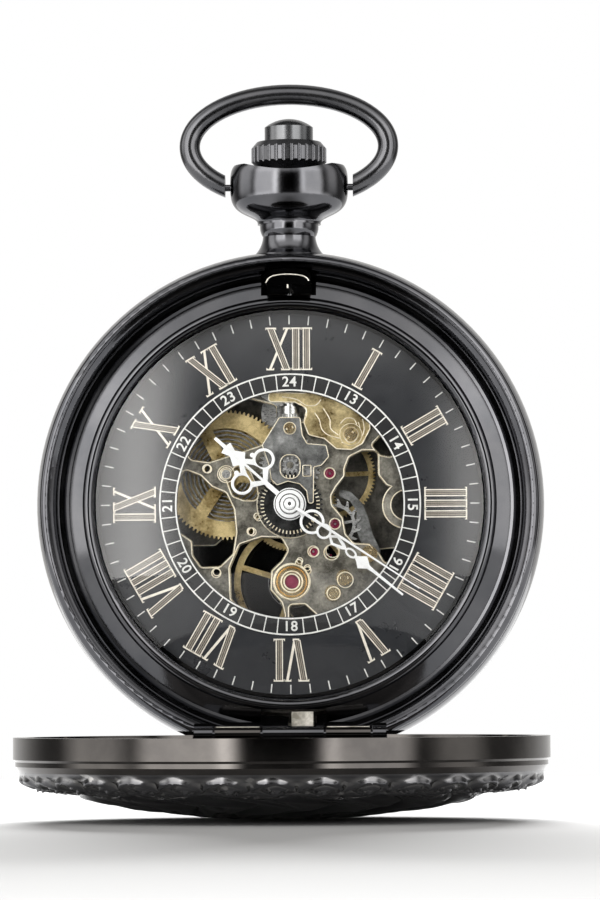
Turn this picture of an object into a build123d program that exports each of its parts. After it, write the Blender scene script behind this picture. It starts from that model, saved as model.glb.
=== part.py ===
"""Hunter pocket watch with a skeleton hand-wound movement, standing open.

The case back lies in the plane Y = 0 with its centre at the origin, on the axis of the hands.
The dial faces -Y, 12 o'clock and the crown are towards +Z and 3 o'clock is towards +X.
Heights through the watch are called levels: the distance in front of the case back's flat face.
Sketches on Plane.XZ are seen from the dial side, so their X and Y are the watch's X and Z.
"""

import os
from math import asin, atan2, cos, degrees, hypot, pi, radians, sin, sqrt

from build123d import *

os.makedirs("parts", exist_ok=True)

# ---------------------------------------------------------------- driving dimensions, mm and degrees
CASE_RADIUS = 23.5
CASE_FRONT = 9.6  # level of the middle's front rim
BACK_THICKNESS = 0.6
BAND_BORE = 21.0
BEZEL_RADIUS = 20.9
CRYSTAL_RADIUS = 17.9
DIAL_RADIUS = 17.75
DIAL_OPENING = 10.45
DIAL_LEVEL = 6.6
DIAL_THICKNESS = 0.4
MOVEMENT_RADIUS = 13.2
PLATE_LEVEL = 4.5
PLATE_THICKNESS = 1.4
PLATE_FRONT = PLATE_LEVEL + PLATE_THICKNESS
BRIDGE_LEVEL = 1.2
BRIDGE_THICKNESS = 0.6
BRIDGE_FRONT = BRIDGE_LEVEL + BRIDGE_THICKNESS
STEM_LEVEL = 5.2  # level of the winding stem's axis, and of the pendant and bow

HINGE_Z = -21.2
KNUCKLE_RADIUS = 0.75
KNUCKLE_RELIEF = 0.95
HINGE_PIN_RADIUS = 0.35
CASE_KNUCKLES = [(-8.8, -7.1), (-2.5, 3.1), (7.6, 8.8)]
LID_KNUCKLES = [(-6.9, -2.7), (3.3, 7.4)]
LID_RADIUS = 23.4
LID_DEPTH = 6.6
LID_GAP = 0.05
LID_PLANE_Z = HINGE_Z - LID_GAP
LID_AXIS_LEVEL = CASE_FRONT - HINGE_Z  # the open lid stands this far in front of the case back

PENDANT_PIVOT_Z = 29.6
BULB_HALF_WIDTH = 5.5
BOW_HALF_WIDTH = 9.25
BOW_HALF_HEIGHT = 4.85
BOW_CENTRE_Z = 33.45
BOW_WIRE_RADIUS = 0.95
BOW_END_X = 5.95
BOW_PIN_RADIUS = 0.32
CROWN_RADIUS = 3.5
CROWN_BASE_Z = 30.95
CROWN_TOP_Z = 33.8
CROWN_FLUTES = 30
BUTTON_RADIUS = 2.25
BUTTON_TOP_Z = 36.0

RUNNING = 0.04  # radial clearance of a pivot in its jewel
HOUR_HAND_ANGLE = 311.7  # clockwise from 12 o'clock
MINUTE_HAND_ANGLE = 129.1
SECONDS_HAND_ANGLE = 123.4

# Arbor centres, (x, z)
CENTRE = (0.0, 0.0)
BARREL = (-5.95, 2.88)
THIRD = (3.65, 2.9)
ESCAPE = (4.12, -1.8)
PALLET = (2.1, -4.35)
BALANCE = (0.1, -7.15)
MINUTE = (0.0, 3.65)
SETTING = (0.0, 7.071)
CROWN_WHEEL = (0.0, 8.6)
SETTING_LEVER = (5.65, 6.45)
YOKE = (-3.0, 11.6)
CLICK = (-10.6, 6.6)

# Teeth of the going train, the motion works and the winding train
BARREL_TEETH, CENTRE_LEAVES = 90, 10
CENTRE_TEETH, THIRD_LEAVES = 80, 10
THIRD_TEETH, SECONDS_LEAVES = 75, 10
SECONDS_TEETH, ESCAPE_LEAVES = 80, 8
ESCAPE_TEETH = 15
CANNON_LEAVES, MINUTE_TEETH = 12, 36
MINUTE_LEAVES, HOUR_TEETH = 10, 40
SETTING_TEETH = 9
CROWN_WHEEL_TEETH, RATCHET_TEETH = 28, 44

ESCAPE_RADIUS = 2.45
BALANCE_RADIUS = 5.45


# ---------------------------------------------------------------- shapes used by several sub-parts
def at_level(level):
    """The plane at a level, facing the dial side"""
    return Plane.XZ.offset(level)


def arbor_axis(centre):
    """The axis through an arbor's centre, towards the case back"""
    return Axis((centre[0], 0, centre[1]), (0, 1, 0))


def disc(centre, low, high, radius, bore=0.0, mode=Mode.ADD):
    """A plain turned step between two levels"""
    with BuildSketch(at_level(low)) as face:
        with Locations(centre):
            Circle(radius)
            if bore:
                Circle(bore, mode=Mode.SUBTRACT)
    extrude(face.sketch, amount=high - low, mode=mode)


def plate(outline, low, high, mode=Mode.ADD):
    """A rounded flat shape between two levels: outline is its corners and their radius"""
    corners, radius = outline
    with BuildSketch(at_level(low)) as face:
        with BuildLine() as edge:
            FilletPolyline(*corners, radius=radius, close=True)
        make_face(edge.edges())
    extrude(face.sketch, amount=high - low, mode=mode)


def direction(start, end):
    """Angle of the line from start to end, in degrees"""
    return degrees(atan2(end[1] - start[1], end[0] - start[0]))


def pitch_radii(start, end, start_teeth, end_teeth):
    """Pitch radii of two gears whose arbors stand at start and end"""
    distance = hypot(end[0] - start[0], end[1] - start[1])
    total = start_teeth + end_teeth
    return distance * start_teeth / total, distance * end_teeth / total


def gear_face(teeth, pitch_radius, tooth_angle):
    """A toothed disc around the active location, with a tooth centred at tooth_angle"""
    module = 2 * pitch_radius / teeth
    step = 360 / teeth
    root, tip = pitch_radius - 1.25 * module, pitch_radius + 0.85 * module
    flank = [(root, -0.29), (pitch_radius, -0.21), (tip, -0.07), (tip, 0.07), (pitch_radius, 0.21),
             (root, 0.29)]
    points = []
    for tooth in range(teeth):
        for radius, share in flank:
            angle = radians(tooth_angle + (tooth + share) * step)
            points.append((radius * cos(angle), radius * sin(angle)))
    Polygon(*points, align=None)


def crossings(rim_radius, hub_radius, spokes, spoke_width, first_angle=0.0):
    """Cut a wheel's disc down to rim, spokes and hub, around the active location"""
    Circle(rim_radius, mode=Mode.SUBTRACT)
    Circle(hub_radius)
    with PolarLocations(0, spokes, start_angle=first_angle):
        with Locations((rim_radius / 2, 0)):
            Rectangle(rim_radius + 0.1, spoke_width)


def gear(centre, low, high, teeth, pitch_radius, tooth_angle, bore=0.0):
    """A solid gear or pinion between two levels"""
    with BuildSketch(at_level(low)) as face:
        with Locations(centre):
            gear_face(teeth, pitch_radius, tooth_angle)
            if bore:
                Circle(bore, mode=Mode.SUBTRACT)
    extrude(face.sketch, amount=high - low)


def turned(centre, profile):
    """A body turned about an arbor: profile is its corners as (radius, level)"""
    with BuildSketch(Plane(origin=(centre[0], 0, centre[1]))) as face:
        with BuildLine() as edge:
            Polyline(*[(radius, -level) for radius, level in profile], close=True)
        make_face(edge.edges())
    revolve(face.sketch, axis=arbor_axis(centre))


def slotted_screw(centre, low, high, head_level, head_radius, shank_radius, slot_angle):
    """A cheese-head screw whose slotted head faces the dial side"""
    disc(centre, low, head_level, shank_radius)
    disc(centre, head_level, high, head_radius)
    with BuildSketch(at_level(high - 0.15)) as slot:
        with Locations(Location((centre[0], centre[1], 0), (0, 0, slot_angle))):
            Rectangle(2.4 * head_radius, 0.2 * head_radius + 0.08)
    extrude(slot.sketch, amount=0.3, mode=Mode.SUBTRACT)


def bevelled_window(outline, low, high, width):
    """A rounded hole between two levels with a bevel around its front edge"""
    plate(outline, low, high, mode=Mode.SUBTRACT)
    corners, radius = outline
    with BuildSketch(at_level(high)) as face:
        with BuildLine() as edge:
            FilletPolyline(*corners, radius=radius, close=True)
        make_face(edge.edges())
        offset(amount=width, kind=Kind.ARC)
    extrude(face.sketch, amount=-width, taper=45, mode=Mode.SUBTRACT)


def dome_arc(reach, apex, edge):
    """The arc of a round dome's profile, from its top on the axis to its edge"""
    drop = apex - edge
    ball = (reach**2 + drop**2) / (2 * abs(drop))
    halfway = ball - sqrt(ball**2 - (reach / 2) ** 2)
    ThreePointArc((0, apex), (reach / 2, apex - halfway * drop / abs(drop)), (reach, edge))


def finish(builder, name):
    """Name a finished sub-part and write it"""
    builder.part.label = name
    export_step(builder.part, f"parts/{name}.step")


# ---------------------------------------------------------------- case
with BuildPart() as back_cover:
    with BuildSketch(Plane.XY):
        with BuildLine():
            Polyline((15, 0), (0, 0), (0, -BACK_THICKNESS), (15, -BACK_THICKNESS))
            ThreePointArc((15, -BACK_THICKNESS), (18.6, -1.15), (21.75, -2.4))
            Polyline((21.75, -2.4), (21.75, -3.7), (22.25, -3.7), (22.25, -2.65), (22.95, -2.65),
                     (22.95, -2.15))
            ThreePointArc((22.95, -2.15), (19.2, -0.62), (15, 0))
        make_face()
    revolve(axis=Axis.Y)
finish(back_cover, "back_cover")

with BuildPart() as case_band:
    with BuildSketch(Plane.XY):
        with BuildLine():
            Polyline((21.0, -3.8), (22.3, -3.8), (22.3, -2.7), (22.95, -2.7))
            ThreePointArc((22.95, -2.7), (CASE_RADIUS, -5.6), (23.1, -8.45))
            Polyline((23.1, -8.45), (22.92, -8.6), (22.98, -8.75))
            ThreePointArc((22.98, -8.75), (22.9, -9.35), (22.5, -CASE_FRONT))
            ThreePointArc((22.5, -CASE_FRONT), (22.32, -9.55), (22.2, -9.4))
            ThreePointArc((22.2, -9.4), (21.55, -8.75), (21.3, -7.9))
            Polyline((21.3, -7.9), (20.95, -7.9), (20.95, -7.0), (19.6, -7.0), (19.6, -6.4))
            Polyline((19.6, -6.4), (BAND_BORE, -6.4), (BAND_BORE, -3.8))
        make_face()
    revolve(axis=Axis.Y)
    # hole for the pendant's tube and the push rod
    with BuildSketch(Plane.XY.offset(20.5)):
        with Locations((0, -STEM_LEVEL)):
            Circle(1.35)
    extrude(amount=4, mode=Mode.SUBTRACT)
    # slot of the latch, through the seat of the bezel
    with BuildSketch(at_level(6.3)):
        with Locations((0, 20.3)):
            Rectangle(5.1, 1.8)
    extrude(amount=3, mode=Mode.SUBTRACT)
    # notch that the open lid's edge swings into
    with BuildSketch(at_level(7.15)):
        with Locations((0, -22.5)):
            Rectangle(21.2, 3.2)
    extrude(amount=3, mode=Mode.SUBTRACT)
    # knuckles and the webs that carry them
    for start, end in CASE_KNUCKLES:
        with BuildSketch(Plane.YZ.offset(start)):
            with Locations((-CASE_FRONT, HINGE_Z)):
                Circle(KNUCKLE_RADIUS)
            with Locations((-(CASE_FRONT + 6.9) / 2, -20.66)):
                Rectangle(CASE_FRONT - 6.9, 0.92)
        extrude(amount=end - start)
    for start, end in LID_KNUCKLES:
        with BuildSketch(Plane.YZ.offset(start - 0.1)):
            with Locations((-CASE_FRONT, HINGE_Z)):
                Circle(KNUCKLE_RELIEF)
        extrude(amount=end - start + 0.2, mode=Mode.SUBTRACT)
    # slot of the lift spring's tongue, through the seat and the middle web
    with BuildSketch(at_level(6.3)):
        with Locations((1.1, -20.15)):
            Rectangle(2.6, 1.3)
    extrude(amount=3.3, mode=Mode.SUBTRACT)
    with BuildSketch(Plane.YZ.offset(-9)):
        with Locations((-CASE_FRONT, HINGE_Z)):
            Circle(HINGE_PIN_RADIUS)
    extrude(amount=18, mode=Mode.SUBTRACT)
finish(case_band, "case_band")

with BuildPart() as hinge_pin:
    with BuildSketch(Plane.YZ.offset(-8.8)):
        with Locations((-CASE_FRONT, HINGE_Z)):
            Circle(HINGE_PIN_RADIUS)
    extrude(amount=17.6)
finish(hinge_pin, "hinge_pin")

with BuildPart() as bezel:
    with BuildSketch(Plane.XY):
        with BuildLine():
            Polyline((17.6, -7.02), (BEZEL_RADIUS, -7.02), (BEZEL_RADIUS, -7.75), (20.65, -7.9),
                     (20.4, -7.85))
            Line((20.4, -7.85), (19.1, -8.45))
            ThreePointArc((19.1, -8.45), (18.6, -8.9), (18.1, -8.6))
            Polyline((18.1, -8.6), (18.0, -8.3), (CRYSTAL_RADIUS, -8.3), (CRYSTAL_RADIUS, -8.0), (17.6, -8.0))
            Line((17.6, -8.0), (17.6, -7.02))
        make_face()
    revolve(axis=Axis.Y)
    with BuildSketch(at_level(7.0)):
        with Locations((0, 20.225)):
            Rectangle(5.1, 1.95)
        with Locations((0, -21.1)):
            Rectangle(18, 2)
        with Locations((0.3, -20.0)):
            Rectangle(6.0, 2.2)
    extrude(amount=2, mode=Mode.SUBTRACT)
finish(bezel, "bezel")

with BuildPart() as crystal:
    with BuildSketch(Plane.XY):
        with BuildLine():
            dome_arc(16.9, -9.4, -8.02)
            Polyline((16.9, -8.02), (CRYSTAL_RADIUS - 0.02, -8.02), (CRYSTAL_RADIUS - 0.02, -8.5))
            dome_arc(CRYSTAL_RADIUS - 0.02, -10.3, -8.5)
            Line((0, -10.3), (0, -9.4))
        make_face()
    revolve(axis=Axis.Y)
finish(crystal, "crystal")

with BuildPart() as movement_ring:
    turned(CENTRE, [(13.3, 3.2), (20.9, 3.2), (20.9, 3.75), (19.3, 3.75), (19.3, 6.35), (18.2, 6.35),
                    (18.2, 6.55), (13.3, 6.55)])
    with BuildSketch(Plane.XY.offset(12)):
        with Locations((0, -STEM_LEVEL)):
            Circle(1.5)
    extrude(amount=8, mode=Mode.SUBTRACT)
    with BuildSketch(at_level(6.05)):
        with PolarLocations(13.9, 3, start_angle=30):
            Circle(1.3)
    extrude(amount=1, mode=Mode.SUBTRACT)
    # room for the setting lever and the yoke
    with BuildSketch(at_level(5.85)):
        with Locations((0, 13.2)):
            Rectangle(10, 2.6)
    extrude(amount=1, mode=Mode.SUBTRACT)
    # room for the latch as it is pressed in
    with BuildSketch(at_level(4.3)):
        with Locations((0, 19.15)):
            Rectangle(4.8, 1.3)
    extrude(amount=2.5, mode=Mode.SUBTRACT)
    with BuildSketch(at_level(3.0)):
        with PolarLocations(13.9, 3, start_angle=30):
            Circle(0.4)
    extrude(amount=4, mode=Mode.SUBTRACT)
finish(movement_ring, "movement_ring")

with BuildPart() as case_screws:
    for index in range(3):
        angle = radians(30 + 120 * index)
        slotted_screw((13.9 * cos(angle), 13.9 * sin(angle)), 3.3, 6.5, 6.07, 1.1, 0.38, 40 * index)
finish(case_screws, "case_screws")

# ---------------------------------------------------------------- lid, drawn at its open position
lid_axis = Axis((0, -LID_AXIS_LEVEL, 0), (0, 0, 1))
with BuildPart() as lid:
    with BuildSketch(Plane(origin=(0, -LID_AXIS_LEVEL, LID_PLANE_Z), x_dir=(1, 0, 0), z_dir=(0, -1, 0))):
        with BuildLine():
            dome_arc(22.9, -LID_DEPTH, -3.0)
            Polyline((22.9, -3.0), (23.2, -2.5), (23.2, -2.1), (LID_RADIUS, -1.9), (LID_RADIUS, 0), (22.3, 0))
            Line((22.3, 0), (22.1, -2.4))
            dome_arc(22.1, -5.9, -2.4)
            Line((0, -5.9), (0, -LID_DEPTH))
        make_face()
    revolve(axis=lid_axis)
    # catch lip at 12 o'clock, which the latch holds
    with BuildSketch(Plane.XY.offset(LID_PLANE_Z - 0.4)):
        with Locations((0, -LID_AXIS_LEVEL - 21.95)):
            Rectangle(5.4, 1.3)
    extrude(amount=0.3)
    # knuckles, their webs and the relief around the middle's knuckles
    for start, end in LID_KNUCKLES:
        with BuildSketch(Plane.YZ.offset(start)):
            with Locations((-CASE_FRONT, HINGE_Z)):
                Circle(KNUCKLE_RADIUS)
            with Locations((-CASE_FRONT + 0.55, LID_PLANE_Z - 0.5)):
                Rectangle(1.3, 1.0)
        extrude(amount=end - start)
    for start, end in CASE_KNUCKLES:
        with BuildSketch(Plane.YZ.offset(start - 0.1)):
            with Locations((-CASE_FRONT, HINGE_Z)):
                Circle(KNUCKLE_RELIEF)
        extrude(amount=end - start + 0.2, mode=Mode.SUBTRACT)
    with BuildSketch(Plane.YZ.offset(-9)):
        with Locations((-CASE_FRONT, HINGE_Z)):
            Circle(HINGE_PIN_RADIUS + RUNNING)
    extrude(amount=18, mode=Mode.SUBTRACT)
finish(lid, "lid")

# ------------------------------------------------ latch and lift springs, in the middle's channel
with BuildPart() as latch_spring:
    with BuildSketch(at_level(4.6)):
        with BuildLine():
            CenterArc((0, 0), 20.7, 90, 110)
            CenterArc((0, 0), 20.3, 90, 110)
            for angle in (90, 200):
                c, s = cos(radians(angle)), sin(radians(angle))
                Line((20.3 * c, 20.3 * s), (20.7 * c, 20.7 * s))
        make_face()
    extrude(amount=1.3)
    with BuildSketch(at_level(4.4)):
        with Locations((0, 20.2)):
            Rectangle(4.2, 1.2)
    extrude(amount=1.7)
    with BuildSketch(at_level(6.0)):
        with Locations((0, 20.45)):
            Rectangle(4.2, 0.7)
    extrude(amount=4.5)
    with BuildSketch(at_level(10.15)):
        with BuildLine():
            Polyline((2.1, 20.7), (2.1, 21.1), (1.6, 21.45))
            ThreePointArc((1.6, 21.45), (0, 21.58), (-1.6, 21.45))
            Polyline((-1.6, 21.45), (-2.1, 21.1), (-2.1, 20.7), (2.1, 20.7))
        make_face()
    extrude(amount=0.35)
    # fork around the push rod
    with BuildSketch(Plane.XY.offset(19)):
        with Locations((0, -STEM_LEVEL)):
            Circle(0.5)
    extrude(amount=3, mode=Mode.SUBTRACT)
finish(latch_spring, "latch_spring")

with BuildPart() as lift_spring:
    with BuildSketch(at_level(4.6)):
        with BuildLine():
            CenterArc((0, 0), 20.6, 210, 66)
            CenterArc((0, 0), 20.2, 210, 66)
            for angle in (210, 276):
                c, s = cos(radians(angle)), sin(radians(angle))
                Line((20.2 * c, 20.2 * s), (20.6 * c, 20.6 * s))
        make_face()
    extrude(amount=1.3)
    with BuildSketch(at_level(4.8)):
        with Locations((1.1, -20.3)):
            Rectangle(2.0, 0.3)
    extrude(amount=3.6)
    with BuildSketch(at_level(8.1)):
        with Locations((1.1, -19.8)):
            Rectangle(2.0, 1.3)
    extrude(amount=0.3)
finish(lift_spring, "lift_spring")

# ---------------------------------------------------------------- pendant, bow, crown and release button
pendant_axis = Axis((0, -STEM_LEVEL, 0), (0, 0, 1))
pendant_plane = Plane(origin=(0, -STEM_LEVEL, 0), x_dir=(1, 0, 0), z_dir=(0, -1, 0))
with BuildPart() as pendant:
    # tube and the two collars
    with BuildSketch(pendant_plane):
        with BuildLine():
            Polyline((0.95, 27.0), (0.95, 21.7), (1.3, 21.7), (1.3, 22.6), (3.6, 22.6), (3.2, 23.3))
            ThreePointArc((3.2, 23.3), (2.62, 24.2), (2.45, 24.95))
            ThreePointArc((2.45, 24.95), (2.72, 25.7), (2.62, 26.5))
            Polyline((2.62, 26.5), (2.4, 27.0), (0.95, 27.0))
        make_face()
    revolve(axis=pendant_axis)
    # bulb
    bulb = [(26.1, 2.95, 2.7), (27.3, 4.55, 3.7), (28.3, 5.35, 4.3), (29.7, BULB_HALF_WIDTH, 4.5),
            (30.8, 5.45, 4.45), (31.6, 5.15, 4.15)]
    for height, half_width, half_depth in bulb:
        with BuildSketch(Plane.XY.offset(height)):
            with Locations((0, -STEM_LEVEL)):
                Ellipse(half_width, half_depth)
    loft()
    # saddle top and bore
    with BuildSketch(at_level(-2)):
        with Locations((0, 43.0)):
            Circle(12.1)
    extrude(amount=16, mode=Mode.SUBTRACT)
    with BuildSketch(Plane.XY.offset(26)):
        with Locations((0, -STEM_LEVEL)):
            Circle(0.95)
    extrude(amount=8, mode=Mode.SUBTRACT)
    # seat of the crown
    with BuildSketch(pendant_plane):
        with BuildLine():
            Polyline((0, 30.85), (2.7, 30.85), (3.45, 31.68), (3.65, 31.85), (3.65, 33), (0, 33), (0, 30.85))
        make_face()
    revolve(axis=pendant_axis, mode=Mode.SUBTRACT)
    # holes of the bow's pins
    with BuildSketch(Plane.YZ.offset(-6)):
        with Locations((-STEM_LEVEL, PENDANT_PIVOT_Z)):
            Circle(BOW_PIN_RADIUS)
    extrude(amount=12, mode=Mode.SUBTRACT)
    # the foot follows the middle it is soldered to
    add(case_band.part, mode=Mode.SUBTRACT)
finish(pendant, "pendant")

first = degrees(asin((PENDANT_PIVOT_Z - BOW_CENTRE_Z) / BOW_HALF_HEIGHT)) - 6
with BuildPart() as bow:
    with BuildLine(at_level(STEM_LEVEL)) as bow_line:
        EllipticalCenterArc((0, BOW_CENTRE_Z), BOW_HALF_WIDTH, BOW_HALF_HEIGHT, first,
                            arc_size=180 - 2 * first)
    with BuildSketch(Plane(origin=bow_line.line @ 0, z_dir=bow_line.line % 0)):
        Circle(BOW_WIRE_RADIUS)
    sweep()
    # ends cut square beside the bulb
    with BuildSketch(at_level(STEM_LEVEL - 3)):
        with Locations((0, PENDANT_PIVOT_Z - 1.5)):
            Rectangle(2 * BOW_END_X, 6)
    extrude(amount=6, mode=Mode.SUBTRACT)
    with BuildSketch(Plane.YZ.offset(-7)):
        with Locations((-STEM_LEVEL, PENDANT_PIVOT_Z)):
            Circle(BOW_PIN_RADIUS + RUNNING)
    extrude(amount=14, mode=Mode.SUBTRACT)
finish(bow, "bow")

with BuildPart() as bow_pins:
    for start in (-6.7, 4.6):
        with BuildSketch(Plane.YZ.offset(start)):
            with Locations((-STEM_LEVEL, PENDANT_PIVOT_Z)):
                Circle(BOW_PIN_RADIUS)
        extrude(amount=2.1)
finish(bow_pins, "bow_pins")

with BuildPart() as crown:
    with BuildSketch(pendant_plane):
        with BuildLine():
            Polyline((0.5, CROWN_BASE_Z), (2.6, CROWN_BASE_Z), (3.3, 31.75), (CROWN_RADIUS, 31.95))
            Polyline((CROWN_RADIUS, 31.95), (CROWN_RADIUS, 33.2), (3.0, CROWN_TOP_Z), (2.3, CROWN_TOP_Z),
                     (2.3, 32.6), (0.5, 32.6), (0.5, CROWN_BASE_Z))
        make_face()
    revolve(axis=pendant_axis)
    with BuildSketch(Plane.XY.offset(31.7)):
        with Locations((0, -STEM_LEVEL)):
            with PolarLocations(CROWN_RADIUS + 0.06, CROWN_FLUTES):
                Circle(0.2)
    extrude(amount=3, mode=Mode.SUBTRACT)
finish(crown, "crown")

with BuildPart() as release_button:
    with BuildSketch(pendant_plane):
        with BuildLine():
            Polyline((0, BUTTON_TOP_Z), (0, 16.9), (0.42, 16.9), (0.42, 21.1), (0.85, 21.1), (0.85, 21.6),
                     (0.45, 21.6), (0.45, 33.4), (BUTTON_RADIUS, 33.4), (BUTTON_RADIUS, 35.2))
            dome_arc(BUTTON_RADIUS, BUTTON_TOP_Z, 35.2)
        make_face()
    revolve(axis=pendant_axis)
finish(release_button, "release_button")

# ---------------------------------------------------------------- winding and setting work
with BuildPart() as stem:
    with BuildSketch(pendant_plane):
        with BuildLine():
            Polyline((0, 16.1), (0, 7.75), (0.2, 7.75), (0.2, 8.0), (0.42, 8.0), (0.42, 10.4), (0.5, 10.4),
                     (0.5, 12.2), (0.32, 12.2), (0.32, 12.7), (0.5, 12.7), (0.5, 15.6), (0.8, 15.6),
                     (0.8, 17.75), (0.46, 17.75), (0.46, 16.1), (0, 16.1))
        make_face()
    revolve(axis=pendant_axis)
finish(stem, "stem")


def stem_gear(teeth, pitch_radius, low, high, bore):
    """A pinion on the winding stem, between two heights"""
    with BuildSketch(Plane.XY.offset(low)) as face:
        with Locations((0, -STEM_LEVEL)):
            gear_face(teeth, pitch_radius, 90)
            Circle(bore, mode=Mode.SUBTRACT)
    extrude(face.sketch, amount=high - low)


with BuildPart() as winding_pinion:
    stem_gear(12, 1.12, 10.55, 11.55, 0.54)
finish(winding_pinion, "winding_pinion")

with BuildPart() as sliding_pinion:
    stem_gear(12, 0.66, 8.15, 8.45, 0.46)
    for low, high, radius in ((8.45, 9.15, 0.85), (9.15, 9.4, 0.62), (9.4, 10.1, 0.95)):
        with BuildSketch(Plane.XY.offset(low)):
            with Locations((0, -STEM_LEVEL)):
                Circle(radius)
                Circle(0.46, mode=Mode.SUBTRACT)
        extrude(amount=high - low)
finish(sliding_pinion, "sliding_pinion")

# ---------------------------------------------------------------- mainplate
# corners and corner radius of each shape, seen from the dial side
BARREL_WINDOW_TOP = ([(-9.6, 4.35), (-7.5, 4.05), (-5.3, 4.75), (-3.6, 5.3), (-2.7, 5.6), (-1.2, 7.2),
                      (-1.3, 9.2), (-4.4, 10.0), (-8.6, 6.8)], 0.5)
BARREL_WINDOW_SIDE = ([(-9.9, 3.3), (-8.35, 2.7), (-7.3, 1.65), (-6.0, 1.1), (-5.3, -0.4), (-5.1, -2.5),
                       (-5.4, -4.5), (-6.6, -5.65), (-8.3, -5.7), (-9.05, -4.6), (-9.1, -3.3),
                       (-10.4, -2.4), (-10.7, 1.0)], 0.45)
BALANCE_WINDOW = ([(-4.7, -3.7), (-2.7, -3.05), (-0.9, -3.1), (-0.3, -4.2), (-0.85, -5.15), (-1.85, -6.1),
                   (-1.95, -7.9), (-0.9, -9.1), (-0.5, -10.7), (-4.0, -10.3), (-5.5, -8.7), (-5.6, -5.8)],
                  0.4)
FOOT_WINDOW = ([(-0.1, -9.35), (1.3, -9.3), (2.4, -10.3), (2.2, -10.9), (-0.1, -10.9)], 0.3)
THIRD_WINDOW = ([(6.7, 4.95), (5.5, 4.35), (5.1, 3.3), (5.1, 2.6), (4.3, 1.6), (3.85, 0.8), (3.9, 0.0),
                 (4.9, -1.2), (5.15, -2.7), (5.9, -3.55), (7.3, -3.6), (8.3, -4.6), (9.0, -5.8),
                 (10.6, -3.2), (10.9, 1.0), (8.9, 1.7), (8.1, 2.7), (8.1, 4.9)], 0.45)
SIDE_WINDOW = ([(7.6, 5.5), (8.6, 6.5), (9.6, 5.0), (9.4, 4.4), (8.4, 4.6)], 0.3)
CLUTCH_WINDOW = ([(-1.25, 7.75), (1.35, 7.75), (1.5, 8.9), (1.2, 9.95), (-1.2, 9.95)], 0.3)
SHIELD_WINDOW = ([(-5.8, 2.3), (-5.3, 0.9), (-4.3, 0.5), (-3.0, 0.5), (-3.2, 1.6), (-3.9, 3.2),
                  (-5.0, 3.6)], 0.4)
WINDOWS = [BARREL_WINDOW_TOP, BARREL_WINDOW_SIDE, BALANCE_WINDOW, FOOT_WINDOW, THIRD_WINDOW, SIDE_WINDOW,
           CLUTCH_WINDOW, SHIELD_WINDOW]
PLATE_HOLES = [((-7.75, 3.4), 0.37), ((3.8, -4.45), 0.7), ((-6.9, -6.3), 0.42), ((-3.7, -2.45), 0.32),
               ((-3.1, -1.05), 0.28), ((0.75, -5.4), 0.3), ((1.55, -6.1), 0.33)]
JEWEL_RADIUS = 0.5
SHOCK_RADIUS = 1.7
DIAL_SCREWS = [((4.95, -6.8), 0), ((3.9, -8.2), 35), ((7.3, -4.6), 70)]
POST_RADIUS = 0.3
BEVEL = 0.13

with BuildPart() as mainplate:
    disc(CENTRE, PLATE_LEVEL, PLATE_FRONT, MOVEMENT_RADIUS)
    for window in WINDOWS:
        bevelled_window(window, PLATE_LEVEL, PLATE_FRONT, BEVEL)
    # rim around the right-hand window
    disc((10.7, -0.1), PLATE_LEVEL, PLATE_FRONT, 2.15, 1.4)
    with BuildSketch(at_level(PLATE_LEVEL)) as trim:
        Circle(MOVEMENT_RADIUS + 2)
        Circle(MOVEMENT_RADIUS, mode=Mode.SUBTRACT)
    extrude(trim.sketch, amount=PLATE_THICKNESS, mode=Mode.SUBTRACT)
    for centre, radius in PLATE_HOLES:
        disc(centre, PLATE_LEVEL, PLATE_FRONT, radius, mode=Mode.SUBTRACT)
    # seats of the jewels, the shock setting, the barrel arbor, the centre tube and the posts
    for centre in (THIRD, ESCAPE, PALLET):
        disc(centre, PLATE_LEVEL, PLATE_FRONT, JEWEL_RADIUS, mode=Mode.SUBTRACT)
    disc(BALANCE, PLATE_LEVEL, PLATE_FRONT, SHOCK_RADIUS, mode=Mode.SUBTRACT)
    disc(BARREL, PLATE_LEVEL, PLATE_FRONT, 0.6, mode=Mode.SUBTRACT)
    disc(CENTRE, PLATE_LEVEL, PLATE_FRONT, 0.5, mode=Mode.SUBTRACT)
    for centre, _ in DIAL_SCREWS:
        disc(centre, PLATE_LEVEL, PLATE_FRONT, 0.35, mode=Mode.SUBTRACT)
    # pockets on the train side for the escape wheel, the pallets and the roller
    for centre, radius in ((ESCAPE, 2.75), (PALLET, 2.15), (BALANCE, 2.4)):
        disc(centre, PLATE_LEVEL, PLATE_LEVEL + 0.35, radius, mode=Mode.SUBTRACT)
    # slots of the stem and of the winding pinion
    with BuildSketch(Plane.XY.offset(7.4)):
        with Locations((0, -STEM_LEVEL)):
            Rectangle(1.3, 1.14)
    extrude(amount=7, mode=Mode.SUBTRACT)
    with BuildSketch(at_level(PLATE_LEVEL)):
        with Locations((0, 11.05)):
            Rectangle(2.9, 1.3)
        with Locations((0, 9.1)):
            Rectangle(2.3, 2.3)
        # room for the sliding pinion's teeth at the setting position
        with Locations((0, 7.8)):
            Rectangle(1.7, 0.5)
    extrude(amount=PLATE_THICKNESS, mode=Mode.SUBTRACT)
    # posts of the motion works and the keyless work
    disc(MINUTE, PLATE_FRONT - 0.1, 6.5, POST_RADIUS)
    disc(SETTING, PLATE_FRONT - 0.1, 6.5, POST_RADIUS)
    disc(SETTING_LEVER, PLATE_FRONT - 0.1, 6.14, POST_RADIUS)
    disc(YOKE, PLATE_FRONT - 0.1, 6.14, POST_RADIUS)
finish(mainplate, "mainplate")

# ---------------------------------------------------------------- bearings
PIVOT_RADIUS = 0.08
JEWEL_BORE = PIVOT_RADIUS + RUNNING
PALLET_BRIDGE_LEVEL = 4.0
PALLET_BRIDGE_THICKNESS = 0.2

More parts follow.
